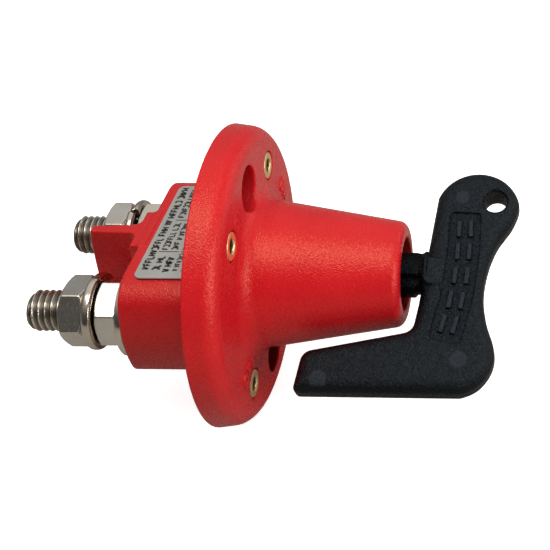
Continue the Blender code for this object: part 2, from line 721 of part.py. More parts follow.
def build_rotor():
    groove_u0, groove_u1 = GROOVE_U
    profile = [(0, ROTOR_U1), (ROTOR_R - ROTOR_CHAMFER, ROTOR_U1),
               (ROTOR_R, ROTOR_U1 - ROTOR_CHAMFER), (ROTOR_R, groove_u1), (GROOVE_R, groove_u1),
               (GROOVE_R, groove_u0), (ROTOR_R, groove_u0), (ROTOR_R, ROTOR_U0), (0, ROTOR_U0)]
    rotor = turned("rotor", profile, 36, INNER, parent=TURN)
    for i in range(2):
        start = FOLLOWER_ANGLE + FOLLOWER_HALF + 180 * i
        join(rotor, ramp_sector(f"join_ramp_{i + 1}", RAMP_RADII,
                                (start + RAMP_LEAD, start + RAMP_SWEEP),
                                ROTOR_U0 + RAMP_OVERLAP,
                                (ROTOR_U0 - LIFT * RAMP_LEAD / RAMP_SWEEP, ROTOR_U0 - LIFT), 10))
    cut(rotor,
        cylinder("cut_socket", SHAFT_BORE_R, *SOCKET_U, 24),
        block("cut_socket_slots", both(LUG_R + SLOT_END_GAP), both(LUG_W / 2 + SLOT_SIDE_GAP),
              SOCKET_U, rot=KEY_TURN))


def build_rotor_seal():
    """Ring in the middle of the rotor's groove."""
    bpy.ops.mesh.primitive_torus_add(major_segments=24, minor_segments=8,
                                     major_radius=SEAL_RING_R * MM,
                                     minor_radius=SEAL_RING_WIRE_R * MM)
    source = bpy.context.object
    mesh = source.data
    bpy.data.objects.remove(source, do_unlink=True)
    mesh.name = "rotor_seal"
    place("rotor_seal", mesh, SEAL, loc=(0, 0, sum(GROOVE_U) / 2), parent=TURN)


def build_thrust_washer():
    plain_ring("thrust_washer", 8.9, ROTOR_R, 25.2, 25.7, 36, CONTACT)


# ------------------------------------------------- carrier, bridge and spring
BRIDGE_T = 2.0
BRIDGE_U1 = -2.05
BRIDGE_U0 = BRIDGE_U1 - BRIDGE_T
BRIDGE_HX = 18.6
BRIDGE_HZ = 5.0
BRIDGE_CORNER = 1.5
BRIDGE_HOLE_R = 2.25
CARRIER_PROFILE = [(0, 8.6), (9.3, 8.6), (9.7, 8.2), (9.7, 0.8), (0, 0.8)]   # columns: r, u
FOOT_HX = 9.0
FOOT_HZ = CAVITY_HZ - 0.4
FOOT_U = (BRIDGE_U1 + 0.12, 1.5)
POST_R = 1.9
POST_U = (BRIDGE_U0 - 1.2, 2.0)
FOLLOWER_RADII = (6.2, 9.2)
FOLLOWER_U0 = 8.0
FOLLOWER_TRIM = 1              # degrees off each side of the follower
TIP_U1 = BRIDGE_U0 - 0.06
TIP_R = 3.2
TIP_T = 1.0
TIP_CHAMFER_U = 0.2
TIP_FACE_R = 2.8
CLIP_U1 = BRIDGE_U0 - 0.15
CLIP_T = 0.6


def build_contact_carrier():
    carrier = turned("contact_carrier", CARRIER_PROFILE, 32, INNER)
    join(carrier,
         block("join_carrier_foot", both(FOOT_HX), both(FOOT_HZ), FOOT_U),
         cylinder("join_carrier_post", POST_R, *POST_U, 16))
    half = FOLLOWER_HALF - FOLLOWER_TRIM
    for i in range(2):
        middle = FOLLOWER_ANGLE + 180 * i
        join(carrier, ramp_sector(f"join_follower_{i + 1}", FOLLOWER_RADII,
                                  (middle - half, middle + half), ROTOR_U0 - GAP,
                                  (FOLLOWER_U0, FOLLOWER_U0), 2))


def build_contact_bridge():
    bridge = block("contact_bridge", both(BRIDGE_HX), both(BRIDGE_HZ), (BRIDGE_U0, BRIDGE_U1),
                   COPPER, corner=BRIDGE_CORNER, smooth=False)
    cut(bridge, cylinder("cut_bridge", BRIDGE_HOLE_R, BRIDGE_U0 - PAST, BRIDGE_U1 + PAST, 20))


def build_contact_tips():
    tip_u0 = TIP_U1 - TIP_T
    profile = [(0, TIP_U1), (TIP_R, TIP_U1), (TIP_R, tip_u0 + TIP_CHAMFER_U),
               (TIP_FACE_R, tip_u0), (0, tip_u0)]
    for side, at in STUD_PLACES.items():
        turned("contact_tip_" + side, profile, 20, CONTACT, loc=at)


def build_bridge_clip():
    plain_ring("bridge_clip", 2.05, 3.1, CLIP_U1 - CLIP_T, CLIP_U1, 20, SPRING)


SPRING_R = 4.3
SPRING_WIRE_R = 0.45
SPRING_TURNS = 3.5
SPRING_STEPS_PER_TURN = 14
SPRING_END_GAP = 0.15
SPRING_FLAT_END = 0.15         # share of the wire at each end that rises only slightly
SPRING_LEAD = 0.12             # share of the rise spread evenly over the whole wire


def build_return_spring():
    curve = bpy.data.curves.new("return_spring", "CURVE")
    curve.dimensions = "3D"
    curve.bevel_depth = SPRING_WIRE_R * MM
    curve.bevel_resolution = 2
    curve.use_fill_caps = True
    low = FLOOR_U + SPRING_WIRE_R + SPRING_END_GAP
    high = BRIDGE_U0 - SPRING_WIRE_R - SPRING_END_GAP
    steps = int(SPRING_TURNS * SPRING_STEPS_PER_TURN)
    coil = curve.splines.new("POLY")
    coil.points.add(steps)
    for k in range(steps + 1):
        t = k / steps
        x, y = polar(SPRING_R, 360 * SPRING_TURNS * t)
        rise = min(max((t - SPRING_FLAT_END) / (1 - 2 * SPRING_FLAT_END), 0.0), 1.0)
        u = low + (high - low) * ((1 - SPRING_LEAD) * rise + SPRING_LEAD * t)
        coil.points[k].co = (x * MM, y * MM, u * MM, 1)
    curve_to_part("return_spring", curve, SPRING)


# -------------------------------------------------------------------- build
build_front_housing()
build_rear_case()
build_case_gasket()
build_label_plate()
build_eyelets()
build_terminals()
build_key()
build_rotor()
build_rotor_seal()
build_thrust_washer()
build_contact_carrier()
build_contact_bridge()
build_contact_tips()
build_bridge_clip()
build_return_spring()
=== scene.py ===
"""Looks for the battery disconnect switch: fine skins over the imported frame.

Shapes are written as distance fields in the switch's turning frame, in mm
(x = world X, y = world Z, u = distance in front of the flange's rear face),
and skinned into quads whose points and normals are taken from the field.
"""
import math

import bmesh
import bpy
import numpy as np
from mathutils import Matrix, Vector


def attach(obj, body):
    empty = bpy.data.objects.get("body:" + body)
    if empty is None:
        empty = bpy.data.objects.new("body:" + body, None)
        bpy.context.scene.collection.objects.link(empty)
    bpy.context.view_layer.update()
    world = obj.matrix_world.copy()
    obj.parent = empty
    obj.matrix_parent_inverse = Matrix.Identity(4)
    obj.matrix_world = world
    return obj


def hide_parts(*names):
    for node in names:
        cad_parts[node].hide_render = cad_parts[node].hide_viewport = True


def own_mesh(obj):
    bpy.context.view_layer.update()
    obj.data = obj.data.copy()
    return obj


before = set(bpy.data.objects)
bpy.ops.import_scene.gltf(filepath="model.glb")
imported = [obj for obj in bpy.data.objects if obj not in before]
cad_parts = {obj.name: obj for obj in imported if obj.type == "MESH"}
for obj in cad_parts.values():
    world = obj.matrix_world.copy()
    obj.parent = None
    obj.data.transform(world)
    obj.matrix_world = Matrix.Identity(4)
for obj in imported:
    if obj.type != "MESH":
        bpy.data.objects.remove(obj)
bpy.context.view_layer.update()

MM = 0.001
ORIGIN_U = 13.45

# ---------------------------------------------------------------- dimensions
KEY_ANGLE = math.radians(205.6)
RIVETS = [(26.57, a) for a in (49.2, 127.6, 227.4, 308.0)]
MOUNTS = [(24.8, a) for a in (88.0, 268.0)]
STUD_X = 14.41
STUD_R = 4.84
PITCH = 1.5
STUD_TIP = -43.0
SHOULDER = -18.4
STACK = {"flat_washer": (-20.12, -18.52), "inner_nut": (-25.84, -20.24),
         "lock_washer": (-28.46, -25.96), "outer_nut": (-34.18, -28.58)}
CORNERS = {"left": (29.0, 55.0), "right": (10.5, 3.5)}       # a corner of the inner and outer nut, degrees from +X


def polar(r, degrees):
    a = math.radians(degrees)
    return r * math.cos(a), r * math.sin(a)


# ------------------------------------------------------------ field algebra
def r_and(a, b, r):
    """Both, with a convex rounding of radius r where they meet."""
    return np.minimum(-r, np.maximum(a, b)) + np.hypot(np.maximum(r + a, 0), np.maximum(r + b, 0))


def r_or(a, b, r):
    """Either, with a concave fillet of radius r where they meet."""
    return np.maximum(r, np.minimum(a, b)) - np.hypot(np.maximum(r - a, 0), np.maximum(r - b, 0))


def less(a, b, r):
    """a with b cut away, the rim rounded by r."""
    return r_and(a, -b, r)


def poly(x, y, pts):
    """Signed distance to a closed outline."""
    shape = np.broadcast(x, y).shape
    d = np.full(shape, 1e9, np.float64)
    inside = np.zeros(shape, bool)
    n = len(pts)
    for i in range(n):
        ax, ay = pts[i]
        bx, by = pts[(i + 1) % n]
        ex, ey = bx - ax, by - ay
        wx, wy = x - ax, y - ay
        t = np.clip((wx * ex + wy * ey) / (ex * ex + ey * ey), 0, 1)
        d = np.minimum(d, (wx - ex * t) ** 2 + (wy - ey * t) ** 2)
        hit = ((ay > y) != (by > y)) & (x < (bx - ax) * (y - ay) / ((by - ay) if by != ay else 1e-12) + ax)
        inside ^= hit
    return np.sqrt(d) * np.where(inside, -1.0, 1.0)


def bar(x, y, x0, y0, x1, y1, w):
    """A straight stroke of half width w with square ends."""
    cx, cy = (x0 + x1) / 2, (y0 + y1) / 2
    length = math.hypot(x1 - x0, y1 - y0)
    tx, ty = (x1 - x0) / length, (y1 - y0) / length
    a = np.abs((x - cx) * tx + (y - cy) * ty) - length / 2
    b = np.abs(-(x - cx) * ty + (y - cy) * tx) - w
    return r_and(a, b, min(0.12, w * 0.45))


def arc(cx, cy, r, a0, a1, n):
    return [(cx + r * math.cos(math.radians(a0 + (a1 - a0) * i / n)),
             cy + r * math.sin(math.radians(a0 + (a1 - a0) * i / n))) for i in range(n + 1)]


def filleted(corners, segments):
    """Round each (x, y, radius) corner of a closed outline; radius 0 stays sharp."""
    out = []
    n = len(corners)
    for i, (x, y, r) in enumerate(corners):
        here = Vector((x, y))
        if r <= 0:
            out.append((x, y))
            continue
        before = (Vector(corners[i - 1][:2]) - here).normalized()
        after = (Vector(corners[(i + 1) % n][:2]) - here).normalized()
        half = before.angle(after) / 2
        reach = r / math.tan(half)
        centre = here + (before + after).normalized() * (r / math.sin(half))
        start = here + before * reach - centre
        end = here + after * reach - centre
        a0 = math.atan2(start.y, start.x)
        sweep = math.atan2(start.x * end.y - start.y * end.x, start.dot(end))
        for k in range(segments + 1):
            a = a0 + sweep * k / segments
            out.append((centre.x + r * math.cos(a), centre.y + r * math.sin(a)))
    return out


# ------------------------------------------------------------------ skinning
def nets(f, lo, h):
    """Quads over the zero level of a sampled field, one point per crossed cell."""
    s = f < 0
    nx, ny, nz = f.shape
    count = np.zeros((nx - 1, ny - 1, nz - 1), np.uint8)
    for i in (0, 1):
        for j in (0, 1):
            for k in (0, 1):
                count += s[i:nx - 1 + i, j:ny - 1 + j, k:nz - 1 + k]
    active = (count > 0) & (count < 8)
    index = np.full(active.shape, -1, np.int64)
    cells = np.argwhere(active)
    index[active] = np.arange(len(cells))
    acc = np.zeros((len(cells), 3))
    hits = np.zeros(len(cells))
    corners = [(i, j, k) for i in (0, 1) for j in (0, 1) for k in (0, 1)]
    for a in corners:
        for axis in range(3):
            if a[axis]:
                continue
            b = list(a)
            b[axis] = 1
            ia, ib = cells + a, cells + b
            fa, fb = f[ia[:, 0], ia[:, 1], ia[:, 2]], f[ib[:, 0], ib[:, 1], ib[:, 2]]
            m = (fa < 0) != (fb < 0)
            t = fa[m] / (fa[m] - fb[m])
            p = np.tile(np.array(a, float), (m.sum(), 1))
            p[:, axis] = t
            acc[m] += p
            hits[m] += 1
    points = np.array(lo) + h * (cells + acc / hits[:, None])
    quads = []
    for axis in range(3):
        o1, o2 = [(1, 2), (2, 0), (0, 1)][axis]
        cut = [slice(1, -1)] * 3
        cut[axis] = slice(0, -1)
        nxt = list(cut)
        nxt[axis] = slice(1, None)
        a, b = s[tuple(cut)], s[tuple(nxt)]
        e = np.argwhere(a != b)
        if not len(e):
            continue
        flip = a[a != b]
        e = e + [0 if k == axis else 1 for k in range(3)]
        d1, d2 = np.zeros(3, int), np.zeros(3, int)
        d1[o1], d2[o2] = 1, 1
        q = np.stack([index[tuple((e - d1 - d2).T)], index[tuple((e - d2).T)],
                      index[tuple(e.T)], index[tuple((e - d1).T)]], 1)
        q[~flip] = q[~flip][:, ::-1]
        quads.append(q)
    return points, np.concatenate(quads)


def slope(field, p, e=0.02):
    g = np.empty_like(p)
    for k in range(3):
        d = np.zeros(3)
        d[k] = e
        hi, lo = p + d, p - d
        g[:, k] = (field(*hi.T) - field(*lo.T)) / (2 * e)
    return g


def to_world(p):
    return np.stack([p[:, 0], ORIGIN_U - p[:, 2], p[:, 1]], 1) * MM


def turn_dir(n):
    return np.stack([n[:, 0], -n[:, 2], n[:, 1]], 1)


def link(name, mesh, mat, body, nodes=()):
    ob = bpy.data.objects.new(name, mesh)
    bpy.context.scene.collection.objects.link(ob)
    mesh.materials.append(mat)
    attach(ob, body)
    if nodes:
        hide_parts(*nodes)
    return ob


def skin(name, field, lo, hi, h, mat, body, nodes=(), place=None):
    ax = [np.arange(lo[k] - 2.2 * h, hi[k] + 2.2 * h, h) for k in range(3)]
    f = np.asarray(field(ax[0][:, None, None], ax[1][None, :, None], ax[2][None, None, :]), np.float64)
    f = np.broadcast_to(f, tuple(len(a) for a in ax))
    p, quads = nets(f, [a[0] for a in ax], h)
    for _ in range(3):
        g = slope(field, p)
        size = np.maximum((g * g).sum(1), 0.2)
        step = -(field(*p.T) / size)[:, None] * g
        far = np.linalg.norm(step, axis=1)[:, None]
        p = p + step * np.minimum(1, 0.5 * h / np.maximum(far, 1e-9))
    n = slope(field, p)
    n /= np.maximum(np.linalg.norm(n, axis=1), 1e-9)[:, None]
    if place:
        p, n = place(p, n)
        quads = quads[:, ::-1]          # the placement is a mirror image
    mesh = bpy.data.meshes.new(name)
    mesh.vertices.add(len(p))
    mesh.vertices.foreach_set("co", to_world(p).astype(np.float32).ravel())
    mesh.loops.add(quads.size)
    mesh.loops.foreach_set("vertex_index", quads.astype(np.int32).ravel())
    mesh.polygons.add(len(quads))
    mesh.polygons.foreach_set("loop_start", np.arange(0, quads.size, 4, dtype=np.int32))
    mesh.update(calc_edges=True)
    mesh.validate()
    mesh.shade_smooth()
    mesh.normals_split_custom_set_from_vertices(turn_dir(n).astype(np.float32))
    return link(name, mesh, mat, body, nodes)


def sheet(name, rows, mat, body, nodes=(), loop=False, sharp=40):
    """Quads between rings of points (rows of equal length), each ring closed; the ends are capped."""
    bm = bmesh.new()
    grid = []
    for ring in rows:
        grid.append([bm.verts.new((x * MM, (ORIGIN_U - u) * MM, y * MM)) for x, y, u in ring])
    count = len(grid)
    for a in range(count if loop else count - 1):
        b = (a + 1) % count
        n = len(grid[a])
        for k in range(n):
            bm.faces.new((grid[a][k], grid[a][(k + 1) % n], grid[b][(k + 1) % n], grid[b][k]))
    if not loop:
        bm.faces.new(grid[0][::-1])
        bm.faces.new(grid[-1])
    bmesh.ops.recalc_face_normals(bm, faces=bm.faces)
    mesh = bpy.data.meshes.new(name)
    bm.to_mesh(mesh)
    bm.free()
    mesh.shade_smooth()
    mesh.set_sharp_from_angle(angle=math.radians(sharp))
    return link(name, mesh, mat, body, nodes)


def spun(name, profile, segments, mat, body, nodes=(), at=(0, 0), sharp=40):
    """A closed (r, u) outline turned about the axis through at."""
    rows = []
    for s in range(segments):
        c, d = math.cos(2 * math.pi * s / segments), math.sin(2 * math.pi * s / segments)
        rows.append([(at[0] + r * c, at[1] + r * d, u) for r, u in profile])
    return sheet(name, rows, mat, body, nodes, loop=True, sharp=sharp)


# ----------------------------------------------------------------- materials
class Nodes:
    """A small helper for building node trees."""

    def __init__(self, name):
        self.mat = bpy.data.materials.new(name)
        self.mat.use_nodes = True
        self.tree = self.mat.node_tree
        self.bsdf = self.tree.nodes["Principled BSDF"]
        self.coord = self.add("ShaderNodeTexCoord").outputs["Object"]

    def add(self, kind, **values):
        node = self.tree.nodes.new(kind)
        for key, value in values.items():
            setattr(node, key, value)
        return node

    def wire(self, out, socket):
        self.tree.links.new(out, socket)

    def noise(self, scale, detail=2.0, rough=0.5, vector=None, stretch=None):
        node = self.add("ShaderNodeTexNoise")
        node.inputs["Scale"].default_value = scale
        node.inputs["Detail"].default_value = detail
        node.inputs["Roughness"].default_value = rough
        source = vector or self.coord
        if stretch:
            m = self.add("ShaderNodeMapping")
            m.inputs["Scale"].default_value = stretch
            self.wire(source, m.inputs["Vector"])
            source = m.outputs["Vector"]
        self.wire(source, node.inputs["Vector"])
        return node.outputs["Fac"]

    def ramp(self, fac, *stops):
        node = self.add("ShaderNodeValToRGB")
        el = node.color_ramp.elements
        while len(el) < len(stops):
            el.new(0.5)
        for e, (pos, color) in zip(el, stops):
            e.position = pos
            e.color = (*color, 1) if len(color) == 3 else color
        self.wire(fac, node.inputs["Fac"])
        return node.outputs["Color"]

    def span(self, fac, lo, hi, a=0.35, b=0.65):
        node = self.add("ShaderNodeMapRange")
        node.inputs["From Min"].default_value = a
        node.inputs["From Max"].default_value = b
        node.inputs["To Min"].default_value = lo
        node.inputs["To Max"].default_value = hi
        self.wire(fac, node.inputs["Value"])
        return node.outputs["Result"]

    def math(self, op, a, b):
        node = self.add("ShaderNodeMath", operation=op)
        for k, v in enumerate((a, b)):
            if isinstance(v, (int, float)):
                node.inputs[k].default_value = v
            else:
                self.wire(v, node.inputs[k])
        return node.outputs["Value"]

    def mix(self, fac, a, b, kind="MIX"):
        node = self.add("ShaderNodeMix", data_type="RGBA", blend_type=kind)
        for socket, v in ((node.inputs[0], fac), (node.inputs[6], a), (node.inputs[7], b)):
            if isinstance(v, (int, float)):
                socket.default_value = v
            elif isinstance(v, tuple):
                socket.default_value = (*v, 1)
            else:
                self.wire(v, socket)
        return node.outputs[2]

    def bump(self, height, distance, strength=1.0, below=None):
        node = self.add("ShaderNodeBump")
        node.inputs["Distance"].default_value = distance
        node.inputs["Strength"].default_value = strength
        self.wire(height, node.inputs["Height"])
        if below:
            self.wire(below, node.inputs["Normal"])
        return node.outputs["Normal"]

    def base(self, color=None, rough=None, metal=None, normal=None, **other):
        for key, v in (("Base Color", color), ("Roughness", rough), ("Metallic", metal), ("Normal", normal)):
            if v is None:
                continue
            if isinstance(v, (int, float)):
                self.bsdf.inputs[key].default_value = v
            elif isinstance(v, tuple):
                self.bsdf.inputs[key].default_value = (*v, 1)
            else:
                self.wire(v, self.bsdf.inputs[key])
        for key, v in other.items():
            self.bsdf.inputs[key.replace("_", " ")].default_value = v
        return self.mat


def moulded(name, dark, light, rough, grain, depth, glint=(1.0, 0.72, 0.58), spec=0.42, marks=None):
    """Moulded plastic: slow colour drift, uneven gloss and a finely pebbled skin that breaks up the highlights."""
    m = Nodes(name)
    slow = m.noise(55, 3, 0.55)
    fine = m.noise(grain, 1.5, 0.55)
    mid = m.noise(grain * 0.40, 1, 0.5)
    color = m.mix(m.span(slow, 0.0, 1.0), dark, light)
    gloss = m.span(mid, rough - 0.05, rough + 0.07)
    height = m.math("ADD", fine, m.math("MULTIPLY", mid, 0.10))
    level = None
    if marks:
        color, gloss, level = marks(m, color, gloss, spec)
    m.base(color, gloss, normal=m.bump(height, depth))
    m.bsdf.inputs["Specular Tint"].default_value = (*glint, 1)
    m.bsdf.inputs["Specular IOR Level"].default_value = spec
    if level is not None:
        m.wire(level, m.bsdf.inputs["Specular IOR Level"])
    return m.mat


def hole_shade(m, color, gloss, spec):
    """Painted shade on the walls of the two screw holes: they are painted darker and duller, most of all in the lower
    one.
    """
    sep = m.add("ShaderNodeSeparateXYZ")
    m.wire(m.coord, sep.inputs[0])
    x, y, z = sep.outputs
    total = None
    for (pcr, a), amount in zip(MOUNTS, (0.25, 0.85)):
        cx, cy = polar(pcr, a)
        dx, dz = m.math("SUBTRACT", x, cx * MM), m.math("SUBTRACT", z, cy * MM)
        d = m.math("SQRT", m.math("ADD", m.math("MULTIPLY", dx, dx), m.math("MULTIPLY", dz, dz)), 0.0)
        inside = m.math("MULTIPLY", m.span(d, amount, 0.0, 5.6 * MM, 5.95 * MM), m.span(y, 0.0, 1.0, (ORIGIN_U - 7.35) * MM, (ORIGIN_U - 6.6) * MM))
        inside = m.math("MULTIPLY", inside, m.span(y, 1.0, 0.0, (ORIGIN_U - 2.2) * MM, (ORIGIN_U - 1.6) * MM))
        total = inside if total is None else m.math("MAXIMUM", total, inside)
    keep = m.math("SUBTRACT", 1.0, total)
    return m.mix(total, color, (0.055, 0.006, 0.008)), gloss, m.math("MULTIPLY", keep, spec)


def key_marks(m, color, gloss, spec):
    """On the key: paler discs left by the ejector pins, paler rib tops, and a darker, duller shaft, painted shade
    where it sits between the plate and the barrel mouth.
    """
    sep = m.add("ShaderNodeSeparateXYZ")
    m.wire(m.coord, sep.inputs[0])
    c, s = math.cos(KEY_ANGLE), math.sin(KEY_ANGLE)
    x, y, z = sep.outputs
    q = m.math("ADD", m.math("MULTIPLY", x, c / MM), m.math("MULTIPLY", z, s / MM))
    n = m.math("ADD", m.math("MULTIPLY", x, s / MM), m.math("MULTIPLY", z, -c / MM))
    along = m.math("MULTIPLY_ADD", y, -1 / MM)
    along.node.inputs[2].default_value = ORIGIN_U
    total = None
    for dq, dp, dr in DISCS:
        dist = m.math("SQRT", m.math("ADD", m.math("POWER", m.math("SUBTRACT", q, dq), 2.0),
                                     m.math("POWER", m.math("SUBTRACT", along, dp), 2.0)), 0.0)
        inside = m.span(dist, 1.0, 0.0, dr - 0.06, dr + 0.06)
        total = inside if total is None else m.math("MAXIMUM", total, inside)
    total = m.math("MULTIPLY", total, m.span(n, 0.0, 1.0, 3.0, 3.4))
    proud = m.math("MULTIPLY", m.span(m.math("ABSOLUTE", n, 0.0), 0.0, 1.0, 3.98, 4.03), m.span(along, 0.0, 1.0, 52.5, 53.5))
    pale = m.math("MAXIMUM", total, proud)
    color = m.mix(m.math("MULTIPLY", pale, 0.9), color, (0.022, 0.027, 0.034))
    neck = m.math("MULTIPLY", m.span(along, 1.0, 0.0, 47.4, 48.6), m.span(m.math("ABSOLUTE", q, 0.0), 1.0, 0.0, 6.5, 8.5))
    color = m.mix(m.math("MULTIPLY", neck, 0.85), color, (0.0016, 0.0018, 0.0021))
    keep = m.math("MULTIPLY", m.math("SUBTRACT", 1.0, m.math("MULTIPLY", neck, 0.55)), m.math("SUBTRACT", 1.0, m.math("MULTIPLY", pale, 0.35)))
    # specular is turned down over the rounded edges of the plate: a painted dark reflection on the rims
    flank = m.span(m.math("ABSOLUTE", n, 0.0), 0.42, 1.0, 1.7, 3.6)
    return color, gloss, m.math("MULTIPLY", m.math("MULTIPLY", keep, flank), spec)


DISCS = [(28.22, 25.68, 2.05), (23.23, 57.77, 2.0), (-19.49, 56.06, 1.7)]      # q, p, radius
RED = moulded("red_moulding", (0.60, 0.010, 0.017), (0.66, 0.014, 0.020), 0.205, 2900, 0.00014, glint=(1.0, 0.56, 0.38), spec=0.52,
              marks=hole_shade)
BLACK = moulded("black_moulding", (0.0022, 0.0031, 0.0044), (0.0038, 0.0052, 0.0072), 0.25, 2700, 0.00036,
                glint=(0.72, 0.88, 1.0), spec=0.22, marks=key_marks)
INNER = moulded("inner_moulding", (0.60, 0.57, 0.50), (0.70, 0.68, 0.62), 0.5, 1600, 0.00004, glint=(1, 1, 1))


def metal(name, color, rough, grain=1800, streak=(1, 1, 1), tint=None, depth=0.000008, speck=0.25):
    """Plated or bare metal: fine pits, faint streaks, uneven gloss and a slow warm drift."""
    m = Nodes(name)
    fine = m.noise(grain, 3, 0.6)
    slow = m.noise(160, 2, 0.5)
    lines = m.noise(700, 2, 0.6, stretch=streak)
    warm = tint or tuple(c * k for c, k in zip(color, (0.95, 0.90, 0.83)))
    base = m.mix(m.span(slow, 0, 1), color, warm)
    base = m.mix(m.span(fine, 0.0, speck, 0.56, 0.80), base, tuple(c * 0.5 for c in color))
    gloss = m.math("ADD", m.span(fine, rough - 0.04, rough + 0.08), m.span(lines, -0.02, 0.04))
    height = m.math("ADD", fine, m.math("MULTIPLY", lines, 0.8))
    return m.base(base, gloss, 1.0, m.bump(height, depth))


PLATED = metal("plated_steel", (0.70, 0.68, 0.64), 0.17)
WASHER_METAL = metal("washer_metal", (0.72, 0.68, 0.62), 0.15)


def thread():
    """Plated thread: bright crests; the roots are painted dark and dull, painted shade in the grooves."""
    m = Nodes("plated_thread")
    sep = m.add("ShaderNodeSeparateXYZ")
    m.wire(m.coord, sep.inputs[0])
    x, y, z = sep.outputs
    off = m.math("SUBTRACT", m.math("ABSOLUTE", x, 0.0), STUD_X * MM)
    r = m.math("SQRT", m.math("ADD", m.math("MULTIPLY", off, off), m.math("MULTIPLY", z, z)), 0.0)
    high = m.span(r, 0.0, 1.0, (STUD_R - 0.85) * MM, (STUD_R - 0.18) * MM)
    fine = m.noise(2600, 3, 0.6)
    slow = m.noise(160, 2, 0.5)
    crest = m.mix(m.span(slow, 0, 1), (0.72, 0.68, 0.61), (0.64, 0.58, 0.49))
    crest = m.mix(m.span(fine, 0.0, 0.2, 0.56, 0.80), crest, (0.26, 0.24, 0.21))
    tip = m.span(y, 0.0, 1.0, (ORIGIN_U - STUD_TIP - 0.10) * MM, (ORIGIN_U - STUD_TIP - 0.02) * MM)
    high = m.math("MAXIMUM", high, m.math("MULTIPLY", tip, 0.6))
    return m.base(m.mix(high, (0.105, 0.092, 0.078), crest), m.math("SUBTRACT", m.span(fine, 0.36, 0.46), m.math("MULTIPLY", high, 0.17)),
                  1.0, m.bump(fine, 0.000005))


THREAD = thread()
SPRING = metal("spring_steel", (0.66, 0.61, 0.55), 0.13, speck=0.12, depth=0.000004)


def brass():
    """Brass with a bright rolled lip; the bore is painted dull dark brown, painted shade inside the hole."""
    m = Nodes("brass")
    sep = m.add("ShaderNodeSeparateXYZ")
    m.wire(m.coord, sep.inputs[0])
    # painted shade down the bore, stopped short of the rear heads
    deep = m.span(sep.outputs[1], 0.0, 1.0, (ORIGIN_U - 7.30) * MM, (ORIGIN_U - 6.75) * MM)
    deep = m.math("MULTIPLY", deep, m.span(sep.outputs[1], 1.0, 0.0, (ORIGIN_U - 1.2) * MM, (ORIGIN_U - 0.6) * MM))
    fine = m.noise(1800, 3, 0.6)
    slow = m.noise(160, 2, 0.5)
    lip = m.mix(m.span(slow, 0, 1), (1.0, 0.82, 0.46), (0.95, 0.74, 0.36))
    lip = m.mix(m.span(fine, 0.0, 0.25, 0.56, 0.80), lip, (0.50, 0.41, 0.23))
    color = m.mix(deep, lip, (0.20, 0.125, 0.055))
    return m.base(color, m.math("ADD", m.span(fine, 0.32, 0.44), m.math("MULTIPLY", deep, 0.12)), 1.0, m.bump(fine, 0.000008))


BRASS = brass()
COPPER = metal("copper", (0.72, 0.36, 0.22), 0.28, tint=(0.60, 0.27, 0.15))
CONTACT = metal("silver_contact", (0.80, 0.80, 0.78), 0.25)


def rubber():
    m = Nodes("seal_rubber")
    fine = m.noise(1500, 2, 0.5)
    return m.base(m.mix(m.span(fine, 0, 1), (0.016, 0.016, 0.017), (0.028, 0.028, 0.029)),
                  m.span(fine, 0.62, 0.78), normal=m.bump(fine, 0.00003))


def foil():
    m = Nodes("label_foil")
    fine = m.noise(2600, 2, 0.6)
    slow = m.noise(70, 2, 0.5)
    color = m.mix(m.span(slow, 0, 1), (0.385, 0.405, 0.385), (0.43, 0.445, 0.42))
    return m.base(color, m.span(fine, 0.40, 0.56), 0.15, m.bump(fine, 0.00001))


def ink():
    m = Nodes("label_ink")
    worn = m.noise(3000, 3, 0.7)
    return m.base(m.mix(m.span(worn, 0, 1, 0.5, 0.8), (0.022, 0.022, 0.022), (0.11, 0.11, 0.105)), 0.5)


SEAL = rubber()
FOIL = foil()
INK = ink()


# ------------------------------------------------------------ front housing
def housing_field(x, y, u):
    r = np.hypot(x, y)
    side = (r - (36.9 - u * (1.0 / 7.5))) * 0.991
    flange = r_and(r_and(side, u - 7.5, 3.6), -u, 0.35)
    k = (18.5 - 12.7) / (43.1 - 7.5)
    barrel = r_and(r_and((r - (12.7 + k * (43.1 - u))) / math.hypot(1, k), u - 43.1, 1.9), 2.0 - u, 0.2)
    body = r_or(flange, barrel, 3.4)
    # bores from behind and from the mouth
    body = less(body, r_and(r - 9.0, 30.0 - u, 0.4), 0.35)
    c, s = math.cos(KEY_ANGLE), math.sin(KEY_ANGLE)
    q, n = x * c + y * s, -x * s + y * c
    slot = np.maximum(np.maximum(np.abs(q) - 8.5, np.abs(n) - 2.35), np.maximum(25.0 - u, u - 31.0))
    through = np.minimum(np.maximum(r - 6.15, np.abs(u - 28.0) - 3.0), slot)
    body = less(body, through, 0.25)
    body = less(body, np.maximum(r - 10.6, np.maximum(u - 26.0, -u - 1)), 0.25)
    body = less(body, np.maximum(r - 33.0, u - 3.2), 0.3)
    for pcr, a in RIVETS:
        cx, cy = polar(pcr, a)
        d = np.hypot(x - cx, y - cy)
        body = less(body, np.maximum(d - 3.72, 6.85 - u), 0.18)
        body = less(body, d - 2.5, 0.1)
    for pcr, a in MOUNTS:
        cx, cy = polar(pcr, a)
        d = np.hypot(x - cx, y - cy)
        body = less(body, r_and(d - 5.55, 3.4 - u, 0.4), 0.4)
        body = less(body, d - 2.75, 0.25)
    return body


skin("housing", housing_field, (-37, -37, 0), (37, 37, 43.1), 0.34, RED, "case", ("front_housing",))


# ---------------------------------------------------------- raised lettering
LETTER_H = 1.95        # half height of a letter


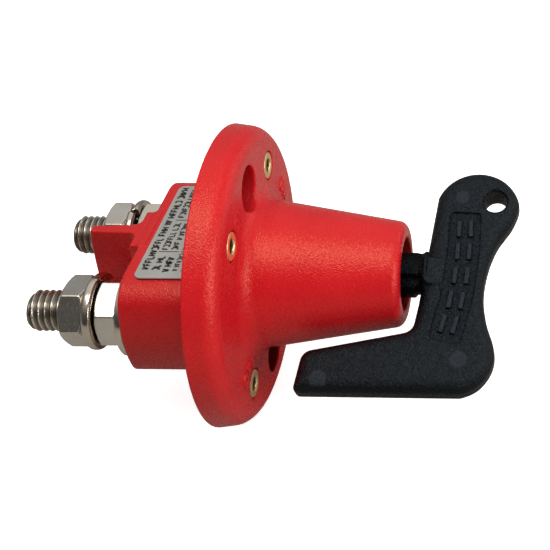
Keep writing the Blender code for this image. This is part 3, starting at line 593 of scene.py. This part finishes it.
def letter_strokes(kind, x, y, w=0.42):
    """Strokes of a plain capital or mark, centred, in mm."""
    hh, hw = LETTER_H, 1.15
    if kind == "O":
        return np.abs(np.hypot(x / 1.0, y / (hh / hw * 0.86)) - (hw - 0.05)) - w
    if kind == "F":
        d = bar(x, y, -hw + w, -hh, -hw + w, hh, w)
        d = np.minimum(d, bar(x, y, -hw, hh - w, hw, hh - w, w))
        return np.minimum(d, bar(x, y, -hw, 0.15, hw * 0.72, 0.15, w * 0.95))
    if kind == "N":
        d = bar(x, y, -hw + w, -hh, -hw + w, hh, w)
        d = np.minimum(d, bar(x, y, hw - w, -hh, hw - w, hh, w))
        return np.minimum(d, bar(x, y, -hw + w * 0.9, hh - 0.1, hw - w * 0.9, -hh + 0.1, w * 1.05))
    if kind == "tri":
        return poly(x, y, [(-1.6, -1.3), (1.6, -1.3), (0.0, 1.6)])
    return bar(x, y, 0, -hh, 0, hh, w)


def raised(name, kind, cx, cy, tilt, top=7.9):
    c, s = math.cos(math.radians(tilt)), math.sin(math.radians(tilt))

    def field(x, y, u):
        lx, ly = (x - cx) * c + (y - cy) * s, -(x - cx) * s + (y - cy) * c
        # the sides lean out a little towards the flange
        flat = letter_strokes(kind, lx, ly) - np.clip(7.62 - u, 0, 0.5) * 0.5
        return np.maximum(r_and(flat, u - top, 0.14), 7.2 - u)

    skin(name, field, (cx - 3.2, cy - 3.2, 7.2), (cx + 3.2, cy + 3.2, top), 0.13, RED, "case")


for i, (kind, cx, cy) in enumerate([("O", -23.4, -13.5), ("F", -20.3, -12.9), ("F", -17.4, -12.8)], 1):
    raised(f"mark_off_{i}", kind, cx, cy, 6.0)
for i, (kind, cx, cy) in enumerate([("O", -10.9, 22.7), ("N", -7.9, 23.9)], 1):
    raised(f"mark_on_{i}", kind, cx, cy, 20.0, 7.64)
for i, (kind, cx, cy) in enumerate([("O", 25.6, 8.6), ("N", 27.1, 5.2)], 1):
    raised(f"mark_on_b{i}", kind, cx, cy, -68.0, 7.85)


# ---------------------------------------------------------------- rear case
def rear_field(x, y, u):
    ax, ay = np.abs(x), np.abs(y)
    r = np.hypot(x, y)
    back = -u - 18.4                                   # distance behind the shoulder
    edge = 0.5
    outline = r_and(r - 25.3, ay - (13.5 - 0.015 * np.maximum(back, 0)), 4.5)
    box = r_and(outline, back, edge)
    seat = np.hypot(ax - STUD_X, y) - 10.75
    land = less(r_and(ax - 6.7, -u - 20.7, 0.35), seat, 0.25)
    end = 32.0 + 0.6 * (1 - (y / 13.2) ** 2)
    wall = r_and(ax - (1.72 - 0.5 * np.clip((back - 2) / 11.5, 0, 1)), -u - end, 0.45)
    rib = r_or(land, wall, 1.8)
    rib = r_and(rib, ay - (13.46 - 0.012 * np.maximum(back, 0)), 0.45)
    body = r_or(np.maximum(box, u - 1.0), np.maximum(rib, u + 17.0), 0.9)
    disc = r_and(r - 32.7, np.maximum(-u, u - 2.9), 0.25)
    body = r_or(body, disc, 0.6)
    cavity = r_and(ax - 19.5, ay - 10.4, 1.6)
    body = less(body, np.maximum(cavity, -u - 11.5), 0.2)
    body = less(body, np.maximum(r_and(ax - 20.6, ay - 11.5, 2.6), 1.8 - u), 0.15)
    for pcr, a in RIVETS:
        cx, cy = polar(pcr, a)
        body = less(body, np.hypot(x - cx, y - cy) - 2.5, 0.1)
    for pcr, a in MOUNTS:
        cx, cy = polar(pcr, a)
        body = less(body, np.hypot(x - cx, y - cy) - 2.75, 0.1)
    hole = np.hypot(ax - STUD_X, y)
    body = less(body, np.maximum(hole - 4.98, u + 10), 0.2)
    return less(body, np.maximum(hole - 6.72, -u - 12.7), 0.1)


skin("rear_housing", rear_field, (-33, -33, -32.7), (33, 33, 2.9), 0.37, RED, "case", ("rear_case",))


# --------------------------------------------------------------------- label
def flat_plate(name, outline, y0, y1, mat, body, nodes=(), round_edge=0.06):
    """A thin plate lying across the top of the box; outline is (x, u), y0 and y1 its faces."""
    rows = []
    cx = sum(p[0] for p in outline) / len(outline)
    cu = sum(p[1] for p in outline) / len(outline)

    def ring(level, inset):
        out = []
        for px, pu in outline:
            d = math.hypot(px - cx, pu - cu)
            k = 1 - inset / d
            out.append((cx + (px - cx) * k, level, cu + (pu - cu) * k))
        return out

    rows = [ring(y0, 0), ring(y1 - round_edge, 0), ring(y1 - round_edge * 0.3, round_edge * 0.3), ring(y1, round_edge)]
    return sheet(name, rows, mat, body, nodes, sharp=30)


label_outline = filleted([(-18.7, -15.6, 1.6), (17.0, -15.6, 1.6), (17.0, -0.5, 1.6), (-18.7, -0.5, 1.6)], 8)
flat_plate("rating_label", label_outline, 13.52, 13.82, FOIL, "case", ("label_plate",))


def printing():
    """Unreadable print: rows of short strokes the size of small lettering, and two rules."""
    rng = np.random.default_rng(7)
    bm = bmesh.new()
    top = 13.828

    def patch(pts):
        lower = [bm.verts.new((x * MM, (ORIGIN_U - u) * MM, (top - 0.012) * MM)) for x, u in pts]
        upper = [bm.verts.new((x * MM, (ORIGIN_U - u) * MM, top * MM)) for x, u in pts]
        n = len(pts)
        bm.faces.new(upper)
        bm.faces.new(lower[::-1])
        for k in range(n):
            bm.faces.new((lower[k], lower[(k + 1) % n], upper[(k + 1) % n], upper[k]))

    def stroke(x0, u0, x1, u1, w):
        length = math.hypot(x1 - x0, u1 - u0)
        nx, nu = -(u1 - u0) / length * w / 2, (x1 - x0) / length * w / 2
        patch([(x0 - nx, u0 - nu), (x1 - nx, u1 - nu), (x1 + nx, u1 + nu), (x0 + nx, u0 + nu)])

    def row(x0, x1, u, height, weight, along=(1, 0)):
        """A line of made-up glyphs; each is two or three strokes."""
        x = x0
        while x < x1 - height * 0.5:
            wide = height * rng.uniform(0.42, 0.66)
            kind = rng.integers(0, 6)
            h2 = height / 2
            if kind == 0:
                stroke(x, u - h2, x, u + h2, weight)
                stroke(x, u + h2, x + wide, u + h2, weight)
            elif kind == 1:
                stroke(x, u - h2, x + wide / 2, u + h2, weight)
                stroke(x + wide / 2, u + h2, x + wide, u - h2, weight)
            elif kind == 2:
                stroke(x, u - h2, x, u + h2, weight)
                stroke(x + wide, u - h2, x + wide, u + h2, weight)
                stroke(x, u, x + wide, u, weight)
            elif kind == 3:
                stroke(x, u - h2, x + wide, u - h2, weight)
                stroke(x, u + h2, x + wide, u + h2, weight)
                stroke(x + wide, u - h2, x + wide, u + h2, weight)
            elif kind == 4:
                stroke(x, u + h2, x + wide, u - h2, weight)
                stroke(x, u - h2, x, u + h2, weight)
            else:
                stroke(x, u - h2, x + wide, u - h2, weight)
                stroke(x, u - h2, x, u + h2, weight)
                stroke(x, u, x + wide * 0.8, u, weight)
            x += wide + height * 0.26
            if rng.random() < 0.14:
                x += height * 0.5

    row(-15.6, 16.0, -13.8, 1.45, 0.50)
    row(-15.9, -10.7, -11.3, 1.40, 0.52)
    row(-16.5, -10.7, -8.9, 1.45, 0.56)
    row(-8.5, 1.9, -11.4, 1.25, 0.42)
    row(-8.5, 1.4, -9.2, 1.25, 0.42)
    row(3.9, 15.8, -11.4, 1.25, 0.42)
    for u in (-6.8, -4.9, -3.0):
        row(-16.2, 1.4, u, 1.1, 0.34)
        row(3.9, 15.6, u, 1.1, 0.34)
    stroke(-9.3, -12.6, -9.3, -7.9, 0.28)
    stroke(2.8, -12.4, 2.8, -1.6, 0.28)
    mesh = bpy.data.meshes.new("label_print")
    bm.to_mesh(mesh)
    bm.free()
    return link("label_print", mesh, INK, "case")


printing()

# ------------------------------------------------------------------- eyelets
eyelet = ([(1.72, 5.0), (1.74, 6.9)] + arc(2.12, 7.12, 0.38, 180, 95, 5) + [(2.6, 7.50), (2.95, 7.44)]
          + arc(3.06, 7.16, 0.28, 70, -60, 5) + [(3.0, 6.88), (2.2, 6.86), (2.2, -0.12), (3.0, -0.14), (3.2, -0.32),
                                                 (2.95, -0.55), (1.9, -0.6), (1.75, -0.45), (1.72, -0.2)])
for i, (pcr, a) in enumerate(RIVETS, 1):
    spun(f"eyelet_ring_{i}", eyelet, 64, BRASS, "case", (f"eyelet_{i}",), at=polar(pcr, a), sharp=50)


# ----------------------------------------------------------------- terminals
def stud(side, sx):
    """A bar whose thread runs as a true helix: each row of points follows one line of the thread."""
    seg, per = 96, 12
    cx = sx * STUD_X
    top, tip, core = -12.0, STUD_TIP, STUD_R - 1.08
    count = int((top - tip) / PITCH * per) + 2 * per
    bm = bmesh.new()
    rows = []
    for k in range(-per, count):
        ring = []
        for c in range(seg):
            u = top - (k / per) * PITCH + PITCH * c / seg
            phase = 2 * math.pi * k / per
            groove = 0.5 - 0.5 * math.cos(phase)
            r = STUD_R - 0.84 * groove ** 0.85
            run_in = min(max((u - top + 1.2) / 1.0, 0.0), 1.0)
            r = r + (STUD_R - r) * run_in
            u = min(max(u, tip), top)
            r = min(r, core + (u - tip) * 0.95)
            t = 2 * math.pi * c / seg
            ring.append(bm.verts.new(((cx + r * math.cos(t)) * MM, (ORIGIN_U - u) * MM, r * math.sin(t) * MM)))
        rows.append(ring)
    for k in range(len(rows) - 1):
        for c in range(seg):
            if c < seg - 1:
                quad = (rows[k][c], rows[k][c + 1], rows[k + 1][c + 1], rows[k + 1][c])
            elif k >= per:
                quad = (rows[k][c], rows[k - per][0], rows[k + 1 - per][0], rows[k + 1][c])
            else:
                continue
            bm.faces.new(quad)
    # ends: a flat tip, and a plain shank inside the case
    angles = [2 * math.pi * c / seg for c in range(seg)]

    def ring_at(r, u):
        return [bm.verts.new(((cx + r * math.cos(t)) * MM, (ORIGIN_U - u) * MM, r * math.sin(t) * MM)) for t in angles]

    def bridge(a, b):
        for c in range(seg):
            bm.faces.new((a[c], a[(c + 1) % seg], b[(c + 1) % seg], b[c]))

    nose = [ring_at(core, tip), ring_at(core - 0.15, tip - 0.0), ring_at(1.2, tip - 0.0)]
    bridge(nose[0], nose[1])
    bridge(nose[1], nose[2])
    bm.faces.new(nose[2])
    shank = [ring_at(STUD_R, top), ring_at(STUD_R, top + 0.5), ring_at(STUD_R - 0.3, top + 0.8), ring_at(STUD_R - 0.3, -10.2)]
    for a, b in zip(shank, shank[1:]):
        bridge(a, b)
    bm.faces.new(shank[-1][::-1])
    bmesh.ops.remove_doubles(bm, verts=bm.verts, dist=0.000002)
    bmesh.ops.recalc_face_normals(bm, faces=bm.faces)
    name = "threaded_stud_" + side
    mesh = bpy.data.meshes.new(name)
    bm.to_mesh(mesh)
    bm.free()
    mesh.shade_smooth()
    mesh.set_sharp_from_angle(angle=math.radians(70))
    return link(name, mesh, THREAD, "case", ("stud_" + side,))


def nut(name, u0, u1, corner, cx, node):
    a = math.radians(corner + 30)
    axes = [(math.cos(a + k * math.pi / 3), math.sin(a + k * math.pi / 3)) for k in range(3)]

    def field(x, y, u):
        px = x - cx
        d = [np.abs(px * c + y * s) - 14.7 / 2 for c, s in axes]
        hexa = r_and(r_and(d[0], d[1], 0.22), d[2], 0.22)
        body = r_and(hexa, np.maximum(u - u1, u0 - u), 0.10)
        r = np.hypot(px, y)
        for face, sign, flat in ((u1, 1, 7.0), (u0, -1, 7.35)):
            cone = ((r - flat) * 0.80 + (u - face) * sign * 1.42) / 1.63
            body = r_and(body, cone, 0.18)
        mid = (u0 + u1) / 2
        hole = r - 4.97 - np.maximum(np.abs(u - mid) - (u1 - u0) / 2 + 0.62, 0)
        return less(body, hole, 0.1)

    return skin(name, field, (cx - 8.4, -8.4, u0), (cx + 8.4, 8.4, u1), 0.21, PLATED, "case", (node,))


def washer(name, u0, u1, cx, node):
    prof = ([(5.0, u1 - 0.15), (5.15, u1)] + arc(10.05, u1 - 0.25, 0.25, 90, 10, 4)
            + [(10.3, (u0 + u1) / 2)] + arc(9.95, u0 + 0.35, 0.35, -10, -90, 4) + [(5.2, u0), (5.0, u0 + 0.2)])
    return spun(name, prof, 128, WASHER_METAL, "case", (node,), at=(cx, 0), sharp=55)


def lock_washer(name, u0, u1, cx, gap_at, node):
    """A split ring whose ends stand apart along the axis; its section is a well-rounded oblong."""
    thick = 2.24 if cx < 0 else 1.9
    rise = (u1 - u0) - thick + 0.06
    rows = []
    steps = 180
    r0, r1 = 5.0, 9.05
    for k in range(steps + 1):
        t = k / steps
        mid = (u0 + u1) / 2 + (t - 0.5) * rise
        h = thick / 2
        section = (arc(r1 - 0.85, h - 0.85, 0.85, 0, 90, 8) + arc(r0 + 0.3, h - 0.3, 0.3, 90, 180, 3)
                   + arc(r0 + 0.3, -h + 0.3, 0.3, 180, 270, 3) + arc(r1 - 0.85, -h + 0.85, 0.85, 270, 360, 8))
        ring = []
        for r, z in section:
            a = math.radians(gap_at + 4.0 + (360 - 8.0) * t) + z * 0.05
            ring.append((cx + r * math.cos(a), r * math.sin(a), mid + z))
        rows.append(ring)
    return sheet(name, rows, SPRING, "case", (node,), sharp=50)


for side, sx in (("left", -1), ("right", 1)):
    cx = sx * STUD_X
    stud(side, sx)
    washer("plain_washer_" + side, *STACK["flat_washer"], cx, "flat_washer_" + side)
    nut("hex_nut_inner_" + side, *STACK["inner_nut"], CORNERS[side][0], cx, "inner_nut_" + side)
    lock_washer("split_washer_" + side, *STACK["lock_washer"], cx, 80 if side == "left" else 98, "lock_washer_" + side)
    nut("hex_nut_outer_" + side, *STACK["outer_nut"], CORNERS[side][1], cx, "outer_nut_" + side)


# -------------------------------------------------------------- return spring
def return_spring():
    """The coil under the contact bridge, built at one fixed length; in the switch it shortens as the bridge is pushed
    back.
    """
    rows = []
    steps = 84
    low, high = -10.9, -4.65
    for k in range(steps + 1):
        t = k / steps
        a = math.radians(360 * 3.5 * t)
        u = low + (high - low) * (0.88 * min(max((t - 0.15) / 0.7, 0.0), 1.0) + 0.12 * t)
        ring = []
        for j in range(10):
            b = 2 * math.pi * j / 10
            r = 4.3 + 0.45 * math.cos(b)
            ring.append((r * math.cos(a), r * math.sin(a), u + 0.45 * math.sin(b)))
        rows.append(ring)
    coil = sheet("return_spring_coil", rows, SPRING, "case", ("return_spring",), sharp=60)
    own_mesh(coil)


return_spring()


# ----------------------------------------------------------------------- key
def through(ctrl, steps):
    """A smooth curve through a row of points; the first and last only steer it."""
    out = []
    for i in range(1, len(ctrl) - 2):
        (x0, y0), (x1, y1), (x2, y2), (x3, y3) = ctrl[i - 1:i + 3]
        for k in range(steps):
            t = k / steps
            f = (-0.5 * t + t * t - 0.5 * t ** 3, 1 - 2.5 * t * t + 1.5 * t ** 3, 0.5 * t + 2 * t * t - 1.5 * t ** 3, -0.5 * t * t + 0.5 * t ** 3)
            out.append((f[0] * x0 + f[1] * x1 + f[2] * x2 + f[3] * x3, f[0] * y0 + f[1] * y1 + f[2] * y2 + f[3] * y3))
    return out


def key_outline():
    pts = arc(-16.55, 59.75, 10.35, 250, 104, 26)
    pts += through([(-20.6, 69.2), (-19.05, 69.79), (-17.6, 69.78), (-16.15, 69.45), (-14.7, 68.95), (-13.2, 68.32), (-11.9, 67.6),
                    (-10.5, 66.7), (-9.2, 65.85), (-8.0, 65.12), (-5.75, 64.15), (-3.4, 63.37), (-1.0, 62.78), (1.4, 62.36),
                    (3.9, 62.1), (6.3, 62.05), (8.8, 62.28), (11.2, 62.74), (13.65, 63.3), (16.0, 64.08), (18.1, 64.9),
                    (20.2, 65.43), (22.3, 65.52), (24.0, 65.2), (25.6, 64.55), (27.1, 63.6), (28.45, 62.4), (29.45, 60.95),
                    (30.15, 59.3), (30.6, 57.6), (30.75, 55.5)], 3)
    pts += filleted([(30.75, 56.0, 0), (30.3, 20.0, 0.9), (21.25, 20.95, 2.6), (15.95, 46.45, 3.3), (9.0, 47.4, 0)], 7)[1:]
    return pts


KEY_PTS = key_outline()
PANEL_PTS = filleted([(-15.3, 53.15, 1.2), (-15.0, 61.0, 1.2), (-4.6, 61.15, 30.0), (6.0, 60.5, 30.0), (19.95, 57.9, 1.3),
                      (17.9, 50.25, 1.4), (6.0, 52.55, 30.0), (-5.0, 53.2, 30.0)], 5)
PAD_PTS = [(-2.6, 47.4), (-1.8, 46.6), (1.4, 46.6), (4.6, 49.0), (4.4, 52.2), (2.8, 53.9), (-0.8, 53.9), (-2.6, 52.2)]
# plain ribs in the recess in pairs, each (q0, p0, q1, p1)
RIBS = []
for qm, pm, lean in ((-10.6, 57.2, 0.04), (-4.4, 57.2, 0.0), (2.0, 57.0, -0.06), (8.4, 56.2, -0.13), (14.6, 54.9, -0.22)):
    for side in (-1, 1):
        px = pm + side * 1.45
        RIBS.append((qm - 2.2 - side * lean * 0.8, px - 2.2 * lean, qm + 2.2 - side * lean * 0.8, px + 2.2 * lean))


def key_field(q, n, p):
    """In the key's own frame: q towards the arm, n across the plate, p forward."""
    an = np.abs(n)
    d2 = (poly(q, p, KEY_PTS) - 0.42) * 0.90
    plate = r_and(d2, an - 3.95, 2.9)
    # the pad at the neck sinks into the plate as it runs forward
    pad = r_and(poly(q, p, PAD_PTS), an - (5.1 - 0.19 * np.clip(p - 47.0, 0, 8)), 0.5)
    plate = r_or(plate, pad, 0.35)
    panel = poly(q, p, PANEL_PTS)
    plate = less(plate, np.maximum(panel, 3.28 - an), 0.18)
    for q0, p0, q1, p1 in RIBS:
        rib = r_and(bar(q, p, q0, p0, q1, p1, 0.60), an - 4.06, 0.18)
        plate = np.minimum(plate, np.maximum(rib, 3.2 - an))
    lanyard = np.hypot(q + 18.55, p - 64.3) - 2.95
    plate = less(plate, lanyard, 0.9)
    rr = np.hypot(q, n)
    shaft = r_and(rr - 5.8, np.maximum(p - 48.7, 21.2 - p), 0.5)
    shaft = less(shaft, np.maximum(q + 0, -q) * 0 + np.maximum(-q - 1e3, np.maximum(q + 4.4, 26.2 - p)), 0.2)
    for a in (50, 130, 230, 310):
        gx, gy = polar(6.0, a)
        groove = np.hypot(q - gx, n + gy) - 1.5
        shaft = less(shaft, np.maximum(groove, np.maximum(26.2 - p, p - 47.0)), 0.25)
    shaft = less(shaft, np.hypot(rr - 6.2, p - 46.75) - 1.15, 0.25)
    lugs = r_and(r_and(np.abs(q) - 8.0, an - 2.0, 0.3), np.maximum(p - 24.7, 21.2 - p), 0.3)
    return r_or(r_or(plate, shaft, 0.5), lugs, 0.3)


def key_place(p, n):
    c, s = math.cos(KEY_ANGLE), math.sin(KEY_ANGLE)

    def turn(v):
        return np.stack([v[:, 0] * c + v[:, 1] * s, v[:, 0] * s - v[:, 1] * c, v[:, 2]], 1)

    return turn(p), turn(n)


key_ob = skin("key_grip", key_field, (-27, -5.3, 19.8), (31, 5.3, 70.8), 0.26, BLACK, "key",
              ("key",), place=key_place)

# ------------------------------------------- carried-over pieces of the frame
FINISH = {"rotor": INNER, "rotor_seal": SEAL, "contact_carrier": INNER, "contact_bridge": COPPER,
          "contact_tip_left": CONTACT, "contact_tip_right": CONTACT, "bridge_clip": SPRING,
          "thrust_washer": SPRING, "stud_seal_left": SEAL, "stud_seal_right": SEAL,
          "case_gasket": SEAL}
for node, finish in FINISH.items():
    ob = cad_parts[node]
    if not ob.material_slots:
        ob.data.materials.append(finish)
    for s in ob.material_slots:
        s.material = finish


# --------------------------------------------------------------------- stage
def stage():
    size = 2.4
    bm = bmesh.new()
    bmesh.ops.create_grid(bm, x_segments=8, y_segments=8, size=size)
    mesh = bpy.data.meshes.new("floor")
    bm.to_mesh(mesh)
    bm.free()
    ob = bpy.data.objects.new("floor", mesh)
    bpy.context.scene.collection.objects.link(ob)
    ob.location = (0, 0, -0.0375)
    m = Nodes("floor_white")
    tree = m.tree
    m.base((0.93, 0.93, 0.93), 0.9)
    m.bsdf.inputs["Specular IOR Level"].default_value = 0.1
    m.bsdf.inputs["Emission Color"].default_value = (1, 1, 1, 1)
    m.bsdf.inputs["Emission Strength"].default_value = 0.80
    dim = m.add("ShaderNodeBsdfDiffuse")
    dim.inputs["Color"].default_value = (0.38, 0.366, 0.345, 1)
    path = m.add("ShaderNodeLightPath")
    mix = m.add("ShaderNodeMixShader")
    m.wire(path.outputs["Is Camera Ray"], mix.inputs["Fac"])
    m.wire(dim.outputs[0], mix.inputs[1])
    m.wire(m.bsdf.outputs[0], mix.inputs[2])
    m.wire(mix.outputs[0], tree.nodes["Material Output"].inputs["Surface"])
    ob.data.materials.append(m.mat)


stage()


def area(name, loc, size, power, size_y=None, color=(1, 1, 1), target=(0, 0, 0)):
    data = bpy.data.lights.new(name, "AREA")
    data.energy = power
    data.color = color
    data.shape = "RECTANGLE"
    data.size = size
    data.size_y = size_y or size
    ob = bpy.data.objects.new(name, data)
    bpy.context.scene.collection.objects.link(ob)
    ob.location = loc
    ob.rotation_mode = "QUATERNION"
    ob.rotation_quaternion = (Vector(target) - Vector(loc)).to_track_quat("-Z", "Y")
    return ob


area("key_light", (-0.17, -0.05, 0.57), 0.50, 2.05, size_y=0.22, color=(1.0, 0.955, 0.89))
area("front_fill", (-0.25, -0.62, 0.20), 0.34, 2.35, color=(1.0, 0.97, 0.92))
area("right_fill", (0.40, -0.50, 0.10), 0.30, 0.35)
area("rear_panel", (-0.11, 0.24, 0.57), 0.16, 0.16)

world = bpy.data.worlds.new("studio")
bpy.context.scene.world = world
world.use_nodes = True
wt = world.node_tree
wt.nodes.clear()
out = wt.nodes.new("ShaderNodeOutputWorld")
mixs = wt.nodes.new("ShaderNodeMixShader")
path = wt.nodes.new("ShaderNodeLightPath")
seen = wt.nodes.new("ShaderNodeBackground")
seen.inputs["Color"].default_value = (1, 1, 1, 1)
seen.inputs["Strength"].default_value = 1.0
lit = wt.nodes.new("ShaderNodeBackground")
coord = wt.nodes.new("ShaderNodeTexCoord")
sep = wt.nodes.new("ShaderNodeSeparateXYZ")
ramp = wt.nodes.new("ShaderNodeValToRGB")
el = ramp.color_ramp.elements
while len(el) < 4:
    el.new(0.5)
for e, (pos, v) in zip(el, ((0.48, 0.15), (0.72, 0.18), (0.88, 0.55), (1.0, 0.70))):
    e.position = pos
    e.color = (v, v * 0.99, v * 0.97, 1)
remap = wt.nodes.new("ShaderNodeMath")
remap.operation = "MULTIPLY_ADD"
remap.inputs[1].default_value = 0.5
remap.inputs[2].default_value = 0.5
wt.links.new(coord.outputs["Generated"], sep.inputs[0])
wt.links.new(sep.outputs["Z"], remap.inputs[0])
wt.links.new(remap.outputs[0], ramp.inputs["Fac"])
wt.links.new(ramp.outputs["Color"], lit.inputs["Color"])
# the +X side of the studio is the brighter one
lean = wt.nodes.new("ShaderNodeMath")
lean.operation = "MULTIPLY_ADD"
lean.inputs[1].default_value = 0.62
lean.inputs[2].default_value = 0.95
wt.links.new(sep.outputs["X"], lean.inputs[0])
wt.links.new(lean.outputs[0], lit.inputs["Strength"])
wt.links.new(path.outputs["Is Camera Ray"], mixs.inputs["Fac"])
wt.links.new(lit.outputs[0], mixs.inputs[1])
wt.links.new(seen.outputs[0], mixs.inputs[2])
wt.links.new(mixs.outputs[0], out.inputs["Surface"])

bpy.context.scene.view_settings.view_transform = "Standard"
bpy.context.scene.view_settings.look = "None"

# -------------------------------------------------------------------- camera
CAM_LOC = (-0.2246, -0.07439, 0.18765)
cam_data = bpy.data.cameras.new("camera")
cam = bpy.data.objects.new("camera", cam_data)
bpy.context.scene.collection.objects.link(cam)
right = Vector((0.00467, -0.99996, 0.0078))
up = Vector((0.5134, 0.00909, 0.8581))
back = Vector((-0.8581, 0.0, 0.5134))
from mathutils import Matrix
basis = Matrix((right, up, back)).transposed()
cam.rotation_mode = "QUATERNION"
cam.rotation_quaternion = basis.to_quaternion()
cam.location = CAM_LOC
cam_data.lens = 76.61
cam_data.sensor_width = 36.0
cam_data.clip_start = 0.01
cam_data.clip_end = 10.0
# the photograph is an off-centre crop of a wider frame; the shift holds only for this viewpoint
for path_name, value in (("shift_x", -0.5716), ("shift_y", -0.3355)):
    curve = cam_data.driver_add(path_name)
    drv = curve.driver
    drv.type = "SCRIPTED"
    var = drv.variables.new()
    var.name = "x"
    var.type = "TRANSFORMS"
    var.targets[0].id = cam
    var.targets[0].transform_type = "LOC_X"
    var.targets[0].transform_space = "WORLD_SPACE"
    drv.expression = f"{value} if abs(x + 0.2246) < 0.0005 else 0"
bpy.context.scene.camera = cam
bpy.context.view_layer.update()
